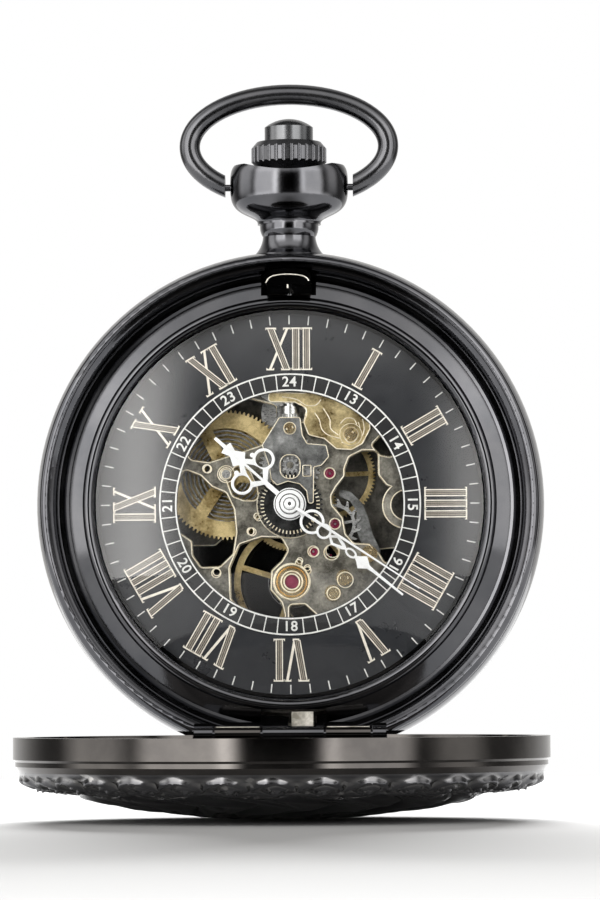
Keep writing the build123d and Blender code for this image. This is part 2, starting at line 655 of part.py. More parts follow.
with BuildPart() as jewels:
    for centre in (THIRD, ESCAPE, PALLET):
        turned(centre, [(JEWEL_BORE, 5.25), (JEWEL_RADIUS, 5.25), (JEWEL_RADIUS, 5.82), (0.38, 5.82),
                        (0.2, 5.68), (JEWEL_BORE, 5.68)])
    for centre in (CENTRE, THIRD, ESCAPE):
        disc(centre, BRIDGE_LEVEL, BRIDGE_FRONT - 0.05, JEWEL_RADIUS, JEWEL_BORE)
    disc(PALLET, PALLET_BRIDGE_LEVEL, PALLET_BRIDGE_LEVEL + PALLET_BRIDGE_THICKNESS, 0.35, JEWEL_BORE)
    # cap jewels of the balance
    turned(BALANCE, [(0, 5.6), (0.72, 5.6), (0.72, 5.76), (0.5, 5.88), (0, 5.9)])
    turned(BALANCE, [(0, 1.2), (0.72, 1.2), (0.72, 1.35), (0, 1.35)])
finish(jewels, "jewels")

with BuildPart() as shock_settings:
    turned(BALANCE, [(JEWEL_BORE, 4.95), (SHOCK_RADIUS, 4.95), (SHOCK_RADIUS, 6.0), (1.42, 6.0), (1.3, 5.78),
                     (1.05, 5.78), (0.95, 5.92), (0.78, 5.92), (0.72, 5.76), (0.72, 5.6), (JEWEL_BORE, 5.6)])
    turned(BALANCE, [(0.72, 1.1), (1.3, 1.1), (1.3, 1.75), (JEWEL_BORE, 1.75), (JEWEL_BORE, 1.35),
                     (0.72, 1.35)])
finish(shock_settings, "shock_settings")

# ---------------------------------------------------------------- bridges on the train side
BARREL_BRIDGE = [(-14, -3.6), (-7.2, -3.6), (-1.8, 1.4), (-0.7, 5.0), (4.3, 8.3), (4.6, 14), (-14, 14)]
TRAIN_BRIDGE = [(-1.1, 1.3), (-1.6, -1.5), (2.6, -3.3), (5.6, -4.2), (14, -3.6), (14, 9.4), (5.3, 7.6),
                (0.2, 4.4)]
BALANCE_COCK = [(-1.9, -6.6), (-0.6, -5.2), (2.6, -5.6), (6.6, -6.2), (14, -5.0), (14, -14), (3.6, -14),
                (-1.0, -9.2)]
BARREL_PILLARS = [(-12.0, -2.4), (-6.2, 10.5), (3.3, 11.6)]
TRAIN_PILLARS = [(11.7, -2.4), (10.2, 6.7)]
COCK_PILLARS = [(9.6, -7.6)]
PILLAR_RADIUS = 0.65
SCREW_SHANK = 0.3


def bridge(corners, pillars, holes):
    """A bridge with its pillars down to the mainplate: holes are (centre, radius)"""
    plate((corners, 0.5), BRIDGE_LEVEL, BRIDGE_FRONT)
    with BuildSketch(at_level(BRIDGE_LEVEL)) as limit:
        Circle(MOVEMENT_RADIUS - 0.2)
    extrude(limit.sketch, amount=BRIDGE_THICKNESS, mode=Mode.INTERSECT)
    for pillar in pillars:
        disc(pillar, BRIDGE_FRONT, PLATE_LEVEL, PILLAR_RADIUS)
        disc(pillar, BRIDGE_LEVEL, 3.0, SCREW_SHANK, mode=Mode.SUBTRACT)
    for centre, radius in holes:
        disc(centre, BRIDGE_LEVEL, BRIDGE_FRONT, radius, mode=Mode.SUBTRACT)


with BuildPart() as barrel_bridge:
    bridge(BARREL_BRIDGE, BARREL_PILLARS, [(BARREL, 0.64), (CROWN_WHEEL, 0.8), (CLICK, 0.2)])
finish(barrel_bridge, "barrel_bridge")

with BuildPart() as train_bridge:
    bridge(TRAIN_BRIDGE, TRAIN_PILLARS, [(centre, JEWEL_RADIUS) for centre in (CENTRE, THIRD, ESCAPE)])
finish(train_bridge, "train_bridge")

with BuildPart() as balance_cock:
    bridge(BALANCE_COCK, COCK_PILLARS, [(BALANCE, 1.3)])
    # stud of the hairspring
    disc((2.75, -7.15), 2.65, 3.05, 0.2)
    disc((2.75, -7.15), BRIDGE_FRONT, 2.65, 0.2)
finish(balance_cock, "balance_cock")

with BuildPart() as pallet_bridge:
    plate(([(0.1, -2.9), (0.9, -2.8), (2.5, -3.9), (4.5, -5.3), (4.2, -6.0), (3.6, -5.9), (1.7, -4.9)], 0.25),
          PALLET_BRIDGE_LEVEL, PALLET_BRIDGE_LEVEL + PALLET_BRIDGE_THICKNESS)
    disc(PALLET, PALLET_BRIDGE_LEVEL, PALLET_BRIDGE_LEVEL + PALLET_BRIDGE_THICKNESS, 0.6)
    for foot in ((0.62, -3.15), (4.08, -5.55)):
        disc(foot, PALLET_BRIDGE_LEVEL + PALLET_BRIDGE_THICKNESS, PLATE_LEVEL, 0.2)
    disc(PALLET, PALLET_BRIDGE_LEVEL, PALLET_BRIDGE_LEVEL + PALLET_BRIDGE_THICKNESS, 0.35, mode=Mode.SUBTRACT)
finish(pallet_bridge, "pallet_bridge")

with BuildPart() as bridge_screws:
    for centre in BARREL_PILLARS + TRAIN_PILLARS + COCK_PILLARS:
        disc(centre, BRIDGE_LEVEL, 3.0, SCREW_SHANK)
        disc(centre, 0.95, BRIDGE_LEVEL, 0.55)
        with BuildSketch(at_level(0.9)) as slot:
            with Locations(Location((centre[0], centre[1], 0), (0, 0, 20 * centre[0]))):
                Rectangle(1.4, 0.16)
        extrude(slot.sketch, amount=0.17, mode=Mode.SUBTRACT)
finish(bridge_screws, "bridge_screws")

with BuildPart() as side_bridge:
    plate(([(4.5, 1.5), (5.6, 1.2), (6.6, 0.2), (7.1, -1.0), (7.6, -2.8), (8.3, -4.2), (8.1, -5.3),
            (6.8, -5.3), (6.7, -4.0), (6.1, -2.4), (6.1, -0.6), (5.5, 0.4), (4.5, 0.8)], 0.3), 4.2, 4.45)
    disc((7.3, -4.6), 4.45, PLATE_LEVEL, 0.6)
    disc((7.3, -4.6), 4.2, PLATE_LEVEL, 0.35, mode=Mode.SUBTRACT)
finish(side_bridge, "side_bridge")

with BuildPart() as dial_screws:
    for centre, slot_angle in DIAL_SCREWS:
        slotted_screw(centre, PLATE_LEVEL, 6.1, PLATE_FRONT, 0.75, 0.35, slot_angle)
    slotted_screw(SETTING, 6.5, 6.9, 6.75, 0.5, POST_RADIUS, 15)
    slotted_screw(SETTING_LEVER, 6.14, 6.55, 6.4, 0.6, POST_RADIUS, 50)
finish(dial_screws, "dial_screws")

# ---------------------------------------------------------------- barrel and winding train
barrel_pitch, centre_pinion_pitch = pitch_radii(BARREL, CENTRE, BARREL_TEETH, CENTRE_LEAVES)
crown_pitch, ratchet_pitch = pitch_radii(CROWN_WHEEL, BARREL, CROWN_WHEEL_TEETH, RATCHET_TEETH)
DRUM_RADIUS = 5.25
DRUM_BORE = 4.95


def spiral(centre, level, height, inner, outer, turns, thickness, first_angle=0.0):
    """A flat coiled strip standing on edge between two radii"""
    steps = 20 * turns
    for_side = []
    for side in (-0.5, 0.5):
        points = []
        for step in range(steps + 1):
            angle = radians(first_angle) + 2 * pi * step / 20
            radius = inner + (outer - inner) * step / steps + side * thickness
            points.append((radius * cos(angle), radius * sin(angle)))
        for_side.append(points)
    with BuildSketch(at_level(level)) as face:
        with Locations(centre):
            Polygon(*for_side[0], *reversed(for_side[1]), align=None)
    extrude(face.sketch, amount=height)


with BuildPart() as barrel_drum:
    disc(BARREL, 2.85, 3.0, DRUM_RADIUS, 0.56)
    disc(BARREL, 3.0, 3.9, DRUM_RADIUS, DRUM_BORE)
    gear(BARREL, 3.9, 4.35, BARREL_TEETH, barrel_pitch, direction(BARREL, CENTRE), DRUM_BORE)
finish(barrel_drum, "barrel_drum")

with BuildPart() as barrel_cover:
    with BuildSketch(at_level(4.1)):
        with Locations(BARREL):
            Circle(DRUM_BORE)
            crossings(4.35, 1.35, 3, 1.25, 236)
            Circle(0.56, mode=Mode.SUBTRACT)
    extrude(amount=0.2)
finish(barrel_cover, "barrel_cover")

with BuildPart() as mainspring:
    spiral(BARREL, 3.08, 0.9, 1.35, 4.85, 9, 0.14)
finish(mainspring, "mainspring")

with BuildPart() as barrel_arbor:
    turned(BARREL, [(0, 0.74), (0.8, 0.74), (0.8, 0.9), (0.6, 0.9), (0.6, 2.78), (0.52, 2.78), (0.52, 3.05),
                    (1.15, 3.05), (1.15, 4.0), (0.52, 4.0), (0.52, 4.42), (0.56, 4.42), (0.56, 5.85),
                    (0, 5.85)])
    with BuildSketch(at_level(5.7)):
        with Locations(Location((*BARREL, 0), (0, 0, 40))):
            Rectangle(1.2, 0.18)
    extrude(amount=0.3, mode=Mode.SUBTRACT)
finish(barrel_arbor, "barrel_arbor")

with BuildPart() as ratchet_wheel:
    gear(BARREL, 0.9, 1.15, RATCHET_TEETH, ratchet_pitch,
         direction(BARREL, CROWN_WHEEL) + 180 / RATCHET_TEETH, 0.6)
finish(ratchet_wheel, "ratchet_wheel")

with BuildPart() as crown_wheel:
    gear(CROWN_WHEEL, 0.9, 1.15, CROWN_WHEEL_TEETH, crown_pitch, direction(CROWN_WHEEL, BARREL))
    disc(CROWN_WHEEL, 1.15, 3.35, 0.76)
    disc(CROWN_WHEEL, 3.35, 3.55, 2.75)
    with BuildSketch(at_level(3.55)):
        with Locations(CROWN_WHEEL):
            with PolarLocations(2.6, 24):
                Rectangle(0.3, 0.22)
    extrude(amount=0.3)
finish(crown_wheel, "crown_wheel")

with BuildPart() as click:
    disc(CLICK, 0.9, 1.12, 0.5)
    disc(CLICK, 1.12, BRIDGE_FRONT, 0.16)
    with BuildSketch(at_level(0.9)):
        with Locations(Location((*CLICK, 0), (0, 0, direction(CLICK, BARREL)))):
            Polygon((0, 0.45), (0.62, 0.12), (0.62, -0.05), (0, -0.45), align=None)
    extrude(amount=0.22)
finish(click, "click")

# ---------------------------------------------------------------- going train
centre_pitch, third_pinion_pitch = pitch_radii(CENTRE, THIRD, CENTRE_TEETH, THIRD_LEAVES)
third_pitch, seconds_pinion_pitch = pitch_radii(THIRD, CENTRE, THIRD_TEETH, SECONDS_LEAVES)
seconds_pitch, escape_pinion_pitch = pitch_radii(CENTRE, ESCAPE, SECONDS_TEETH, ESCAPE_LEAVES)
TUBE_BORE = 0.19
TUBE_RADIUS = 0.46
SECONDS_ARBOR = 0.15

with BuildPart() as centre_wheel:
    with BuildSketch(at_level(2.55)):
        gear_face(CENTRE_TEETH, centre_pitch, direction(CENTRE, THIRD))
        crossings(3.6, 0.95, 5, 0.4, 18)
        Circle(TUBE_RADIUS, mode=Mode.SUBTRACT)
    extrude(amount=0.17)
finish(centre_wheel, "centre_wheel")

with BuildPart() as centre_pinion:
    disc(CENTRE, 2.5, 7.2, TUBE_RADIUS, TUBE_BORE)
    gear(CENTRE, 3.85, 4.4, CENTRE_LEAVES, centre_pinion_pitch,
         direction(CENTRE, BARREL) + 180 / CENTRE_LEAVES, TUBE_BORE)
finish(centre_pinion, "centre_pinion")

with BuildPart() as third_wheel:
    with BuildSketch(at_level(2.15)):
        with Locations(THIRD):
            gear_face(THIRD_TEETH, third_pitch, direction(THIRD, CENTRE))
            crossings(3.55, 0.9, 4, 0.42, 2)
            Circle(0.2, mode=Mode.SUBTRACT)
    extrude(amount=0.15)
finish(third_wheel, "third_wheel")

with BuildPart() as third_pinion:
    turned(THIRD, [(0, 1.35), (PIVOT_RADIUS, 1.35), (PIVOT_RADIUS, 1.8), (0.2, 1.85), (0.2, 5.15),
                   (PIVOT_RADIUS, 5.2), (PIVOT_RADIUS, 5.62), (0, 5.62)])
    gear(THIRD, 2.45, 2.85, THIRD_LEAVES, third_pinion_pitch, direction(THIRD, CENTRE) + 180 / THIRD_LEAVES)
finish(third_pinion, "third_pinion")

with BuildPart() as seconds_wheel:
    with BuildSketch(at_level(1.9)):
        gear_face(SECONDS_TEETH, seconds_pitch, direction(CENTRE, ESCAPE))
        crossings(3.6, 0.8, 5, 0.36, 0)
    extrude(amount=0.15)
    gear(CENTRE, 2.05, 2.42, SECONDS_LEAVES, seconds_pinion_pitch,
         direction(CENTRE, THIRD) + 180 / SECONDS_LEAVES)
    turned(CENTRE, [(0, 1.35), (PIVOT_RADIUS, 1.35), (PIVOT_RADIUS, 1.8), (SECONDS_ARBOR, 1.85),
                    (SECONDS_ARBOR, 8.08), (0, 8.08)])
finish(seconds_wheel, "seconds_wheel")

with BuildPart() as escape_pinion:
    turned(ESCAPE, [(0, 1.35), (PIVOT_RADIUS, 1.35), (PIVOT_RADIUS, 1.8), (0.13, 1.83), (0.13, 5.15),
                    (PIVOT_RADIUS, 5.2), (PIVOT_RADIUS, 5.62), (0, 5.62)])
    gear(ESCAPE, 1.86, 2.09, ESCAPE_LEAVES, escape_pinion_pitch,
         direction(ESCAPE, CENTRE) + 180 / ESCAPE_LEAVES)
finish(escape_pinion, "escape_pinion")

with BuildPart() as escape_wheel:
    with BuildSketch(at_level(4.55)):
        with Locations(ESCAPE):
            club = [(1.9, 0.0), (ESCAPE_RADIUS - 0.08, 0.42), (ESCAPE_RADIUS, 0.62), (1.9, 0.5)]
            rim = []
            for tooth in range(ESCAPE_TEETH):
                for radius, share in club:
                    angle = 2 * pi * (tooth + share) / ESCAPE_TEETH
                    rim.append((radius * cos(angle), radius * sin(angle)))
            Polygon(*rim, align=None)
            crossings(1.6, 0.5, 4, 0.24, 10)
            Circle(0.13, mode=Mode.SUBTRACT)
    extrude(amount=0.14)
finish(escape_wheel, "escape_wheel")

# ---------------------------------------------------------------- pallets and balance
to_escape = direction(PALLET, ESCAPE)
to_balance = direction(PALLET, BALANCE)
PALLET_SPREAD = 66
PALLET_REACH = 1.7
FORK_REACH = 2.32

with BuildPart() as pallet_fork:
    with BuildSketch(at_level(4.55)):
        for side in (-1, 1):
            with Locations(Location((*PALLET, 0), (0, 0, to_escape + side * PALLET_SPREAD))):
                with Locations((PALLET_REACH / 2, 0)):
                    Rectangle(PALLET_REACH, 0.36)
        with Locations(Location((*PALLET, 0), (0, 0, to_balance))):
            Polygon((0, 0.2), (FORK_REACH - 0.3, 0.1), (FORK_REACH - 0.1, 0.3), (FORK_REACH, 0.28),
                    (FORK_REACH - 0.12, 0.12), (FORK_REACH - 0.12, -0.12), (FORK_REACH, -0.28),
                    (FORK_REACH - 0.1, -0.3), (FORK_REACH - 0.3, -0.1), (0, -0.2), align=None)
        with Locations(PALLET):
            Circle(0.36)
    extrude(amount=0.14)
    turned(PALLET, [(0, 4.05), (PIVOT_RADIUS, 4.05), (PIVOT_RADIUS, 4.25), (0.15, 4.3), (0.15, 5.15),
                    (PIVOT_RADIUS, 5.2), (PIVOT_RADIUS, 5.6), (0, 5.6)])
finish(pallet_fork, "pallet_fork")

with BuildPart() as pallet_stones:
    with BuildSketch(at_level(4.69)):
        for side in (-1, 1):
            with Locations(Location((*PALLET, 0), (0, 0, to_escape + side * PALLET_SPREAD))):
                with Locations(Location((PALLET_REACH - 0.2, 0, 0), (0, 0, -side * PALLET_SPREAD / 2))):
                    Rectangle(0.5, 0.22)
    extrude(amount=0.1)
finish(pallet_stones, "pallet_stones")

with BuildPart() as balance_wheel:
    with BuildSketch(at_level(3.3)):
        with Locations(BALANCE):
            Circle(BALANCE_RADIUS)
            crossings(4.85, 0.75, 4, 0.5, 163)
            Circle(0.3, mode=Mode.SUBTRACT)
    extrude(amount=0.22)
    disc(BALANCE, 3.52, 3.9, BALANCE_RADIUS, 4.85)
finish(balance_wheel, "balance_wheel")

with BuildPart() as balance_staff:
    turned(BALANCE, [(0, 1.38), (PIVOT_RADIUS, 1.38), (PIVOT_RADIUS, 1.85), (0.18, 2.0), (0.18, 2.7),
                     (0.32, 2.7), (0.32, 3.05), (0.3, 3.05), (0.3, 3.9), (0.2, 3.95), (0.2, 4.3),
                     (0.92, 4.3), (0.92, 4.42), (0.2, 4.42), (0.2, 4.8), (PIVOT_RADIUS, 4.9),
                     (PIVOT_RADIUS, 5.58), (0, 5.58)])
    # impulse pin
    with BuildSketch(at_level(4.42)):
        with Locations(Location((*BALANCE, 0), (0, 0, direction(BALANCE, PALLET)))):
            with Locations((0.72, 0)):
                Circle(0.11)
    extrude(amount=0.3)
finish(balance_staff, "balance_staff")

with BuildPart() as hairspring:
    spiral(BALANCE, 2.76, 0.22, 0.5, 2.4, 9, 0.05)
finish(hairspring, "hairspring")

# ---------------------------------------------------------------- motion works and keyless work
cannon_pitch, minute_pitch = pitch_radii(CENTRE, MINUTE, CANNON_LEAVES, MINUTE_TEETH)
hour_pitch, minute_pinion_pitch = pitch_radii(CENTRE, MINUTE, HOUR_TEETH, MINUTE_LEAVES)
setting_pitch = pitch_radii(SETTING, MINUTE, SETTING_TEETH, MINUTE_TEETH)[0]
CANNON_RADIUS = 0.7
HOUR_PIPE = 1.0

with BuildPart() as cannon_pinion:
    disc(CENTRE, 5.95, 7.78, CANNON_RADIUS, TUBE_RADIUS)
    gear(CENTRE, 6.0, 6.18, CANNON_LEAVES, cannon_pitch, direction(CENTRE, MINUTE), TUBE_RADIUS)
finish(cannon_pinion, "cannon_pinion")

with BuildPart() as minute_wheel:
    with BuildSketch(at_level(6.0)):
        with Locations(MINUTE):
            gear_face(MINUTE_TEETH, minute_pitch, direction(MINUTE, CENTRE) + 180 / MINUTE_TEETH)
            Circle(POST_RADIUS + RUNNING, mode=Mode.SUBTRACT)
    extrude(amount=0.18)
    gear(MINUTE, 6.18, 6.48, MINUTE_LEAVES, minute_pinion_pitch,
         direction(MINUTE, CENTRE) + 180 / MINUTE_LEAVES, POST_RADIUS + RUNNING)
finish(minute_wheel, "minute_wheel")

with BuildPart() as hour_wheel:
    gear(CENTRE, 6.25, 6.43, HOUR_TEETH, hour_pitch, direction(CENTRE, MINUTE), CANNON_RADIUS + RUNNING)
    disc(CENTRE, 6.43, 7.48, HOUR_PIPE, CANNON_RADIUS + RUNNING)
finish(hour_wheel, "hour_wheel")

with BuildPart() as setting_wheel:
    gear(SETTING, 6.0, 6.25, SETTING_TEETH, setting_pitch, direction(SETTING, MINUTE), POST_RADIUS + RUNNING)
finish(setting_wheel, "setting_wheel")

with BuildPart() as motion_bridge:
    plate(([(-0.95, 8.05), (-2.55, 5.5), (-1.9, 3.6), (-1.75, 2.35), (-1.2, 1.8), (-0.2, 2.15), (0.9, 1.9),
            (1.55, 1.25), (1.7, 0.1), (2.15, 0.1), (2.2, 3.45), (2.9, 3.6), (3.6, 4.4), (3.35, 5.45),
            (1.6, 5.6), (1.15, 6.4), (0.95, 8.05)], 0.18), 6.52, 6.75)
    for corners, radius in (([(-0.9, 2.4), (0.95, 2.4), (0.95, 4.6), (-0.9, 4.6)], 0.8),
                            ([(1.2, 2.6), (1.95, 2.6), (1.95, 3.6), (1.2, 3.6)], 0.1)):
        plate((corners, radius), 6.52, 6.75, mode=Mode.SUBTRACT)
    disc(SETTING, 6.52, 6.75, POST_RADIUS, mode=Mode.SUBTRACT)
    # feet on the mainplate
    for foot in ((-1.45, 6.65), (3.1, 4.95)):
        disc(foot, PLATE_FRONT, 6.52, 0.22)
finish(motion_bridge, "motion_bridge")

with BuildPart() as setting_lever:
    plate(([(6.25, 6.9), (5.3, 5.8), (2.4, 10.6), (1.75, 11.9), (0.7, 12.2), (0.7, 12.72), (2.2, 12.72),
            (3.2, 11.2)], 0.22), 5.94, 6.08)
    disc(SETTING_LEVER, 5.94, 6.08, POST_RADIUS + RUNNING, mode=Mode.SUBTRACT)
finish(setting_lever, "setting_lever")

with BuildPart() as yoke:
    plate(([(-3.5, 11.9), (-2.6, 12.2), (-1.75, 10.2), (-0.65, 9.4), (-0.65, 9.18), (-1.1, 9.1),
            (-2.6, 10.0)], 0.1), 5.94, 6.08)
    disc(YOKE, 5.94, 6.08, 0.55)
    disc(YOKE, 5.94, 6.08, POST_RADIUS + RUNNING, mode=Mode.SUBTRACT)
finish(yoke, "yoke")

with BuildPart() as keyless_cover:
    plate(([(-2.0, 9.55), (0.5, 9.5), (1.6, 8.9), (1.3, 7.6), (1.75, 6.45), (3.2, 6.1), (4.3, 5.15),
            (5.7, 5.05), (6.7, 5.6), (7.45, 7.0), (7.2, 9.4), (3.6, 11.4), (1.7, 11.9), (1.6, 10.3),
            (-1.9, 10.4)], 0.3), 6.14, 6.4)
    disc(SETTING_LEVER, 6.14, 6.5, 1.0)
    disc(SETTING_LEVER, 6.4, 6.6, 0.72, mode=Mode.SUBTRACT)
    disc(SETTING_LEVER, 6.14, 6.4, POST_RADIUS, mode=Mode.SUBTRACT)
finish(keyless_cover, "keyless_cover")

# ---------------------------------------------------------------- dial and hands
CHAPTER_OUTER = 12.15

with BuildPart() as dial:
    disc(CENTRE, DIAL_LEVEL, DIAL_LEVEL + DIAL_THICKNESS, DIAL_RADIUS, DIAL_OPENING)
finish(dial, "dial")

with BuildPart() as chapter_ring:
    disc(CENTRE, 7.0, 7.12, CHAPTER_OUTER, DIAL_OPENING)
finish(chapter_ring, "chapter_ring")


def hand_angle(angle):
    """The placement of a hand drawn towards +Y, at a clockwise angle from 12 o'clock"""
    return Location((0, 0, 0), (0, 0, -angle))


def ring(centre, outer, inner):
    """A ring in a hand's outline"""
    with Locations(centre):
        Circle(outer)
        Circle(inner, mode=Mode.SUBTRACT)


with BuildPart() as hour_hand:
    with BuildSketch(at_level(7.3)):
        with Locations(hand_angle(HOUR_HAND_ANGLE)):
            Polygon((-0.22, 1.2), (0.22, 1.2), (0.22, 3.2), (-0.22, 3.2), align=None)
            Polygon((0, 2.8), (1.25, 3.7), (0.85, 5.3), (0, 6.4), (-0.85, 5.3), (-1.25, 3.7), align=None)
            for side in (-1, 1):
                ring((1.5 * side, 4.55), 1.03, 0.76)
                with Locations((1.1 * side, 5.6)):
                    Circle(0.22)
                Polygon((0.12 * side, 3.4), (0.75 * side, 4.0), (0.5 * side, 4.9), (0.12 * side, 5.5),
                        align=None, mode=Mode.SUBTRACT)
            Polygon((0, 5.6), (0.86, 6.25), (0.35, 7.1), (0.63, 7.9), (0.17, 8.0), (0.15, 9.25),
                    (-0.15, 9.25), (-0.17, 8.0), (-0.63, 7.9), (-0.35, 7.1), (-0.86, 6.25), align=None)
        Circle(1.5)
        Circle(HOUR_PIPE, mode=Mode.SUBTRACT)
    extrude(amount=0.14)
finish(hour_hand, "hour_hand")

with BuildPart() as minute_hand:
    with BuildSketch(at_level(7.6)):
        with Locations(hand_angle(MINUTE_HAND_ANGLE)):
            Polygon((-0.2, 1.0), (0.2, 1.0), (0.2, 1.8), (-0.2, 1.8), align=None)
            ring((0, 2.65), 1.15, 0.9)
            ring((0, 4.05), 0.72, 0.5)
            Polygon((0, 4.6), (0.55, 5.3), (0.3, 6.3), (0, 6.8), (-0.3, 6.3), (-0.55, 5.3), align=None)
            Polygon((0, 4.95), (0.3, 5.4), (0, 6.2), (-0.3, 5.4), align=None, mode=Mode.SUBTRACT)
            with Locations((0, 7.25)):
                Ellipse(0.4, 0.62)
                Ellipse(0.22, 0.42, mode=Mode.SUBTRACT)
            Polygon((0, 7.6), (0.3, 8.1), (0.72, 8.6), (0.2, 9.3), (0.14, 10.0), (0.1, 13.4), (-0.1, 13.4),
                    (-0.14, 10.0), (-0.2, 9.3), (-0.72, 8.6), (-0.3, 8.1), align=None)
        Circle(1.3)
        Circle(CANNON_RADIUS, mode=Mode.SUBTRACT)
    extrude(amount=0.13)
finish(minute_hand, "minute_hand")

with BuildPart() as seconds_hand:
    with BuildSketch(at_level(7.92)):
        with Locations(hand_angle(SECONDS_HAND_ANGLE)):
            Polygon((-0.16, 0), (0.16, 0), (0.05, 14.3), (-0.05, 14.3), align=None)
        Circle(0.85)
        Circle(SECONDS_ARBOR, mode=Mode.SUBTRACT)
    extrude(amount=0.1)
finish(seconds_hand, "seconds_hand")
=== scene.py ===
import math

import bmesh
import bpy
import numpy as np
from mathutils import Matrix, Quaternion, Vector


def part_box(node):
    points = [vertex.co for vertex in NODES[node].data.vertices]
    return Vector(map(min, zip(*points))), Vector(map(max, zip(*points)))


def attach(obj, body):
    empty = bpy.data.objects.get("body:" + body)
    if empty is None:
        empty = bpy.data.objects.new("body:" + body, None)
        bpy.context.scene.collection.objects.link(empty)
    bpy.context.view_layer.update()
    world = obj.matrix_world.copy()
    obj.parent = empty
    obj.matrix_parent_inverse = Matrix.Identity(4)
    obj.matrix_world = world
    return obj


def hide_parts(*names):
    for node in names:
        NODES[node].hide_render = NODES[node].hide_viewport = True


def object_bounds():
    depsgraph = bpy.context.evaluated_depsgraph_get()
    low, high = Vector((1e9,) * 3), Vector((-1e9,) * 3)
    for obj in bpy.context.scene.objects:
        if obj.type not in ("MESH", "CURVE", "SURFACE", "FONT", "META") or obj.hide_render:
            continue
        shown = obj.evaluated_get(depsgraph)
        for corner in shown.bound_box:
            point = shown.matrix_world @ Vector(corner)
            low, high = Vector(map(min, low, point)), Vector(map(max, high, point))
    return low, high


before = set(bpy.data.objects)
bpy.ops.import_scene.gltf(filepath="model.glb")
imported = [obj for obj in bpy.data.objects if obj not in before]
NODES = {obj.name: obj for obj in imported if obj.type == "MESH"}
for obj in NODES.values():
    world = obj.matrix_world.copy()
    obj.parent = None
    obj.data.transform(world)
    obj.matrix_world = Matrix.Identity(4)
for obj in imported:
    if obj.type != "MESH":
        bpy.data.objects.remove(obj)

CAD_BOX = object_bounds()
MM = 0.001
scene = bpy.context.scene
scene.view_settings.view_transform = "Standard"


# ---------------------------------------------------------------- materials
class Mat:
    """A Principled material with short helpers for its nodes."""

    def __init__(self, name, base=(0.5, 0.5, 0.5), metallic=0.0, rough=0.4):
        self.m = bpy.data.materials.new(name)
        self.m.use_nodes = True
        self.t = self.m.node_tree
        self.b = self.t.nodes["Principled BSDF"]
        self.set(self.b, "Base Color", (*base, 1))
        self.set(self.b, "Metallic", metallic)
        self.set(self.b, "Roughness", rough)
        self.coord = self.t.nodes.new("ShaderNodeTexCoord")

    def set(self, node, socket, value):
        node.inputs[socket].default_value = value

    def link(self, a, b):
        self.t.links.new(a, b)

    def new(self, kind, **values):
        node = self.t.nodes.new(kind)
        for key, value in values.items():
            node.inputs[key].default_value = value
        return node

    def mapped(self, scale):
        node = self.t.nodes.new("ShaderNodeMapping")
        node.inputs["Scale"].default_value = scale
        self.link(self.coord.outputs["Object"], node.inputs["Vector"])
        return node.outputs["Vector"]

    def noise(self, scale, detail=4.0, rough=0.55, stretch=(1, 1, 1)):
        node = self.new("ShaderNodeTexNoise", Scale=scale, Detail=detail, Roughness=rough)
        self.link(self.mapped(stretch), node.inputs["Vector"])
        return node.outputs["Fac"]

    def ramp(self, fac, stops):
        node = self.t.nodes.new("ShaderNodeValToRGB")
        node.color_ramp.elements[0].position = stops[0][0]
        node.color_ramp.elements[0].color = (*stops[0][1], 1)
        node.color_ramp.elements[1].position = stops[1][0]
        node.color_ramp.elements[1].color = (*stops[1][1], 1)
        for position, colour in stops[2:]:
            node.color_ramp.elements.new(position).color = (*colour, 1)
        self.link(fac, node.inputs["Fac"])
        return node.outputs["Color"]

    def spread(self, fac, low, high, start=0.3, end=0.7):
        node = self.t.nodes.new("ShaderNodeMapRange")
        for key, value in (("From Min", start), ("From Max", end), ("To Min", low), ("To Max", high)):
            node.inputs[key].default_value = value
        self.link(fac, node.inputs["Value"])
        return node.outputs["Result"]

    def math(self, operation, a, b=None):
        node = self.t.nodes.new("ShaderNodeMath")
        node.operation = operation
        for index, value in enumerate((a, b)):
            if value is None:
                continue
            if isinstance(value, (int, float)):
                node.inputs[index].default_value = value
            else:
                self.link(value, node.inputs[index])
        return node.outputs["Value"]

    def mix(self, fac, a, b):
        node = self.t.nodes.new("ShaderNodeMix")
        node.data_type = "RGBA"
        for socket, value in (("Factor", fac), ("A", a), ("B", b)):
            target = [s for s in node.inputs
                      if s.name == socket and (s.type == "RGBA" or socket == "Factor")][0]
            if isinstance(value, tuple):
                target.default_value = (*value, 1)
            elif isinstance(value, (int, float)):
                target.default_value = value
            else:
                self.link(value, target)
        return [o for o in node.outputs if o.type == "RGBA"][0]

    def base(self, colour):
        self.link(colour, self.b.inputs["Base Color"])

    def rough(self, value):
        self.link(value, self.b.inputs["Roughness"])

    def bump(self, height, strength=0.2, distance=0.00002):
        node = self.new("ShaderNodeBump", Strength=strength, Distance=distance)
        self.link(height, node.inputs["Height"])
        self.link(node.outputs["Normal"], self.b.inputs["Normal"])

    def slope(self):
        """How much a face turns from the dial side: 1 on flat faces, 0 on walls."""
        split = self.t.nodes.new("ShaderNodeSeparateXYZ")
        self.link(self.coord.outputs["Normal"], split.inputs[0])
        return self.math("ABSOLUTE", split.outputs["Y"])


def black_metal(name, dark, light, rough_low=0.12, rough_high=0.24, scratch=0.12):
    m = Mat(name, metallic=1.0)
    cloud = m.noise(180, 5, 0.6)
    m.base(m.ramp(cloud, [(0.3, dark), (0.72, light)]))
    fine = m.noise(5200, 3, 0.6)
    m.rough(m.spread(m.math("ADD", m.math("MULTIPLY", cloud, 0.7), m.math("MULTIPLY", fine, 0.3)),
                     rough_low, rough_high))
    hair = m.noise(900, 6, 0.7, (1, 14, 1.6))
    m.bump(m.math("ADD", hair, m.math("MULTIPLY", fine, 0.4)), scratch, 0.000006)
    return m


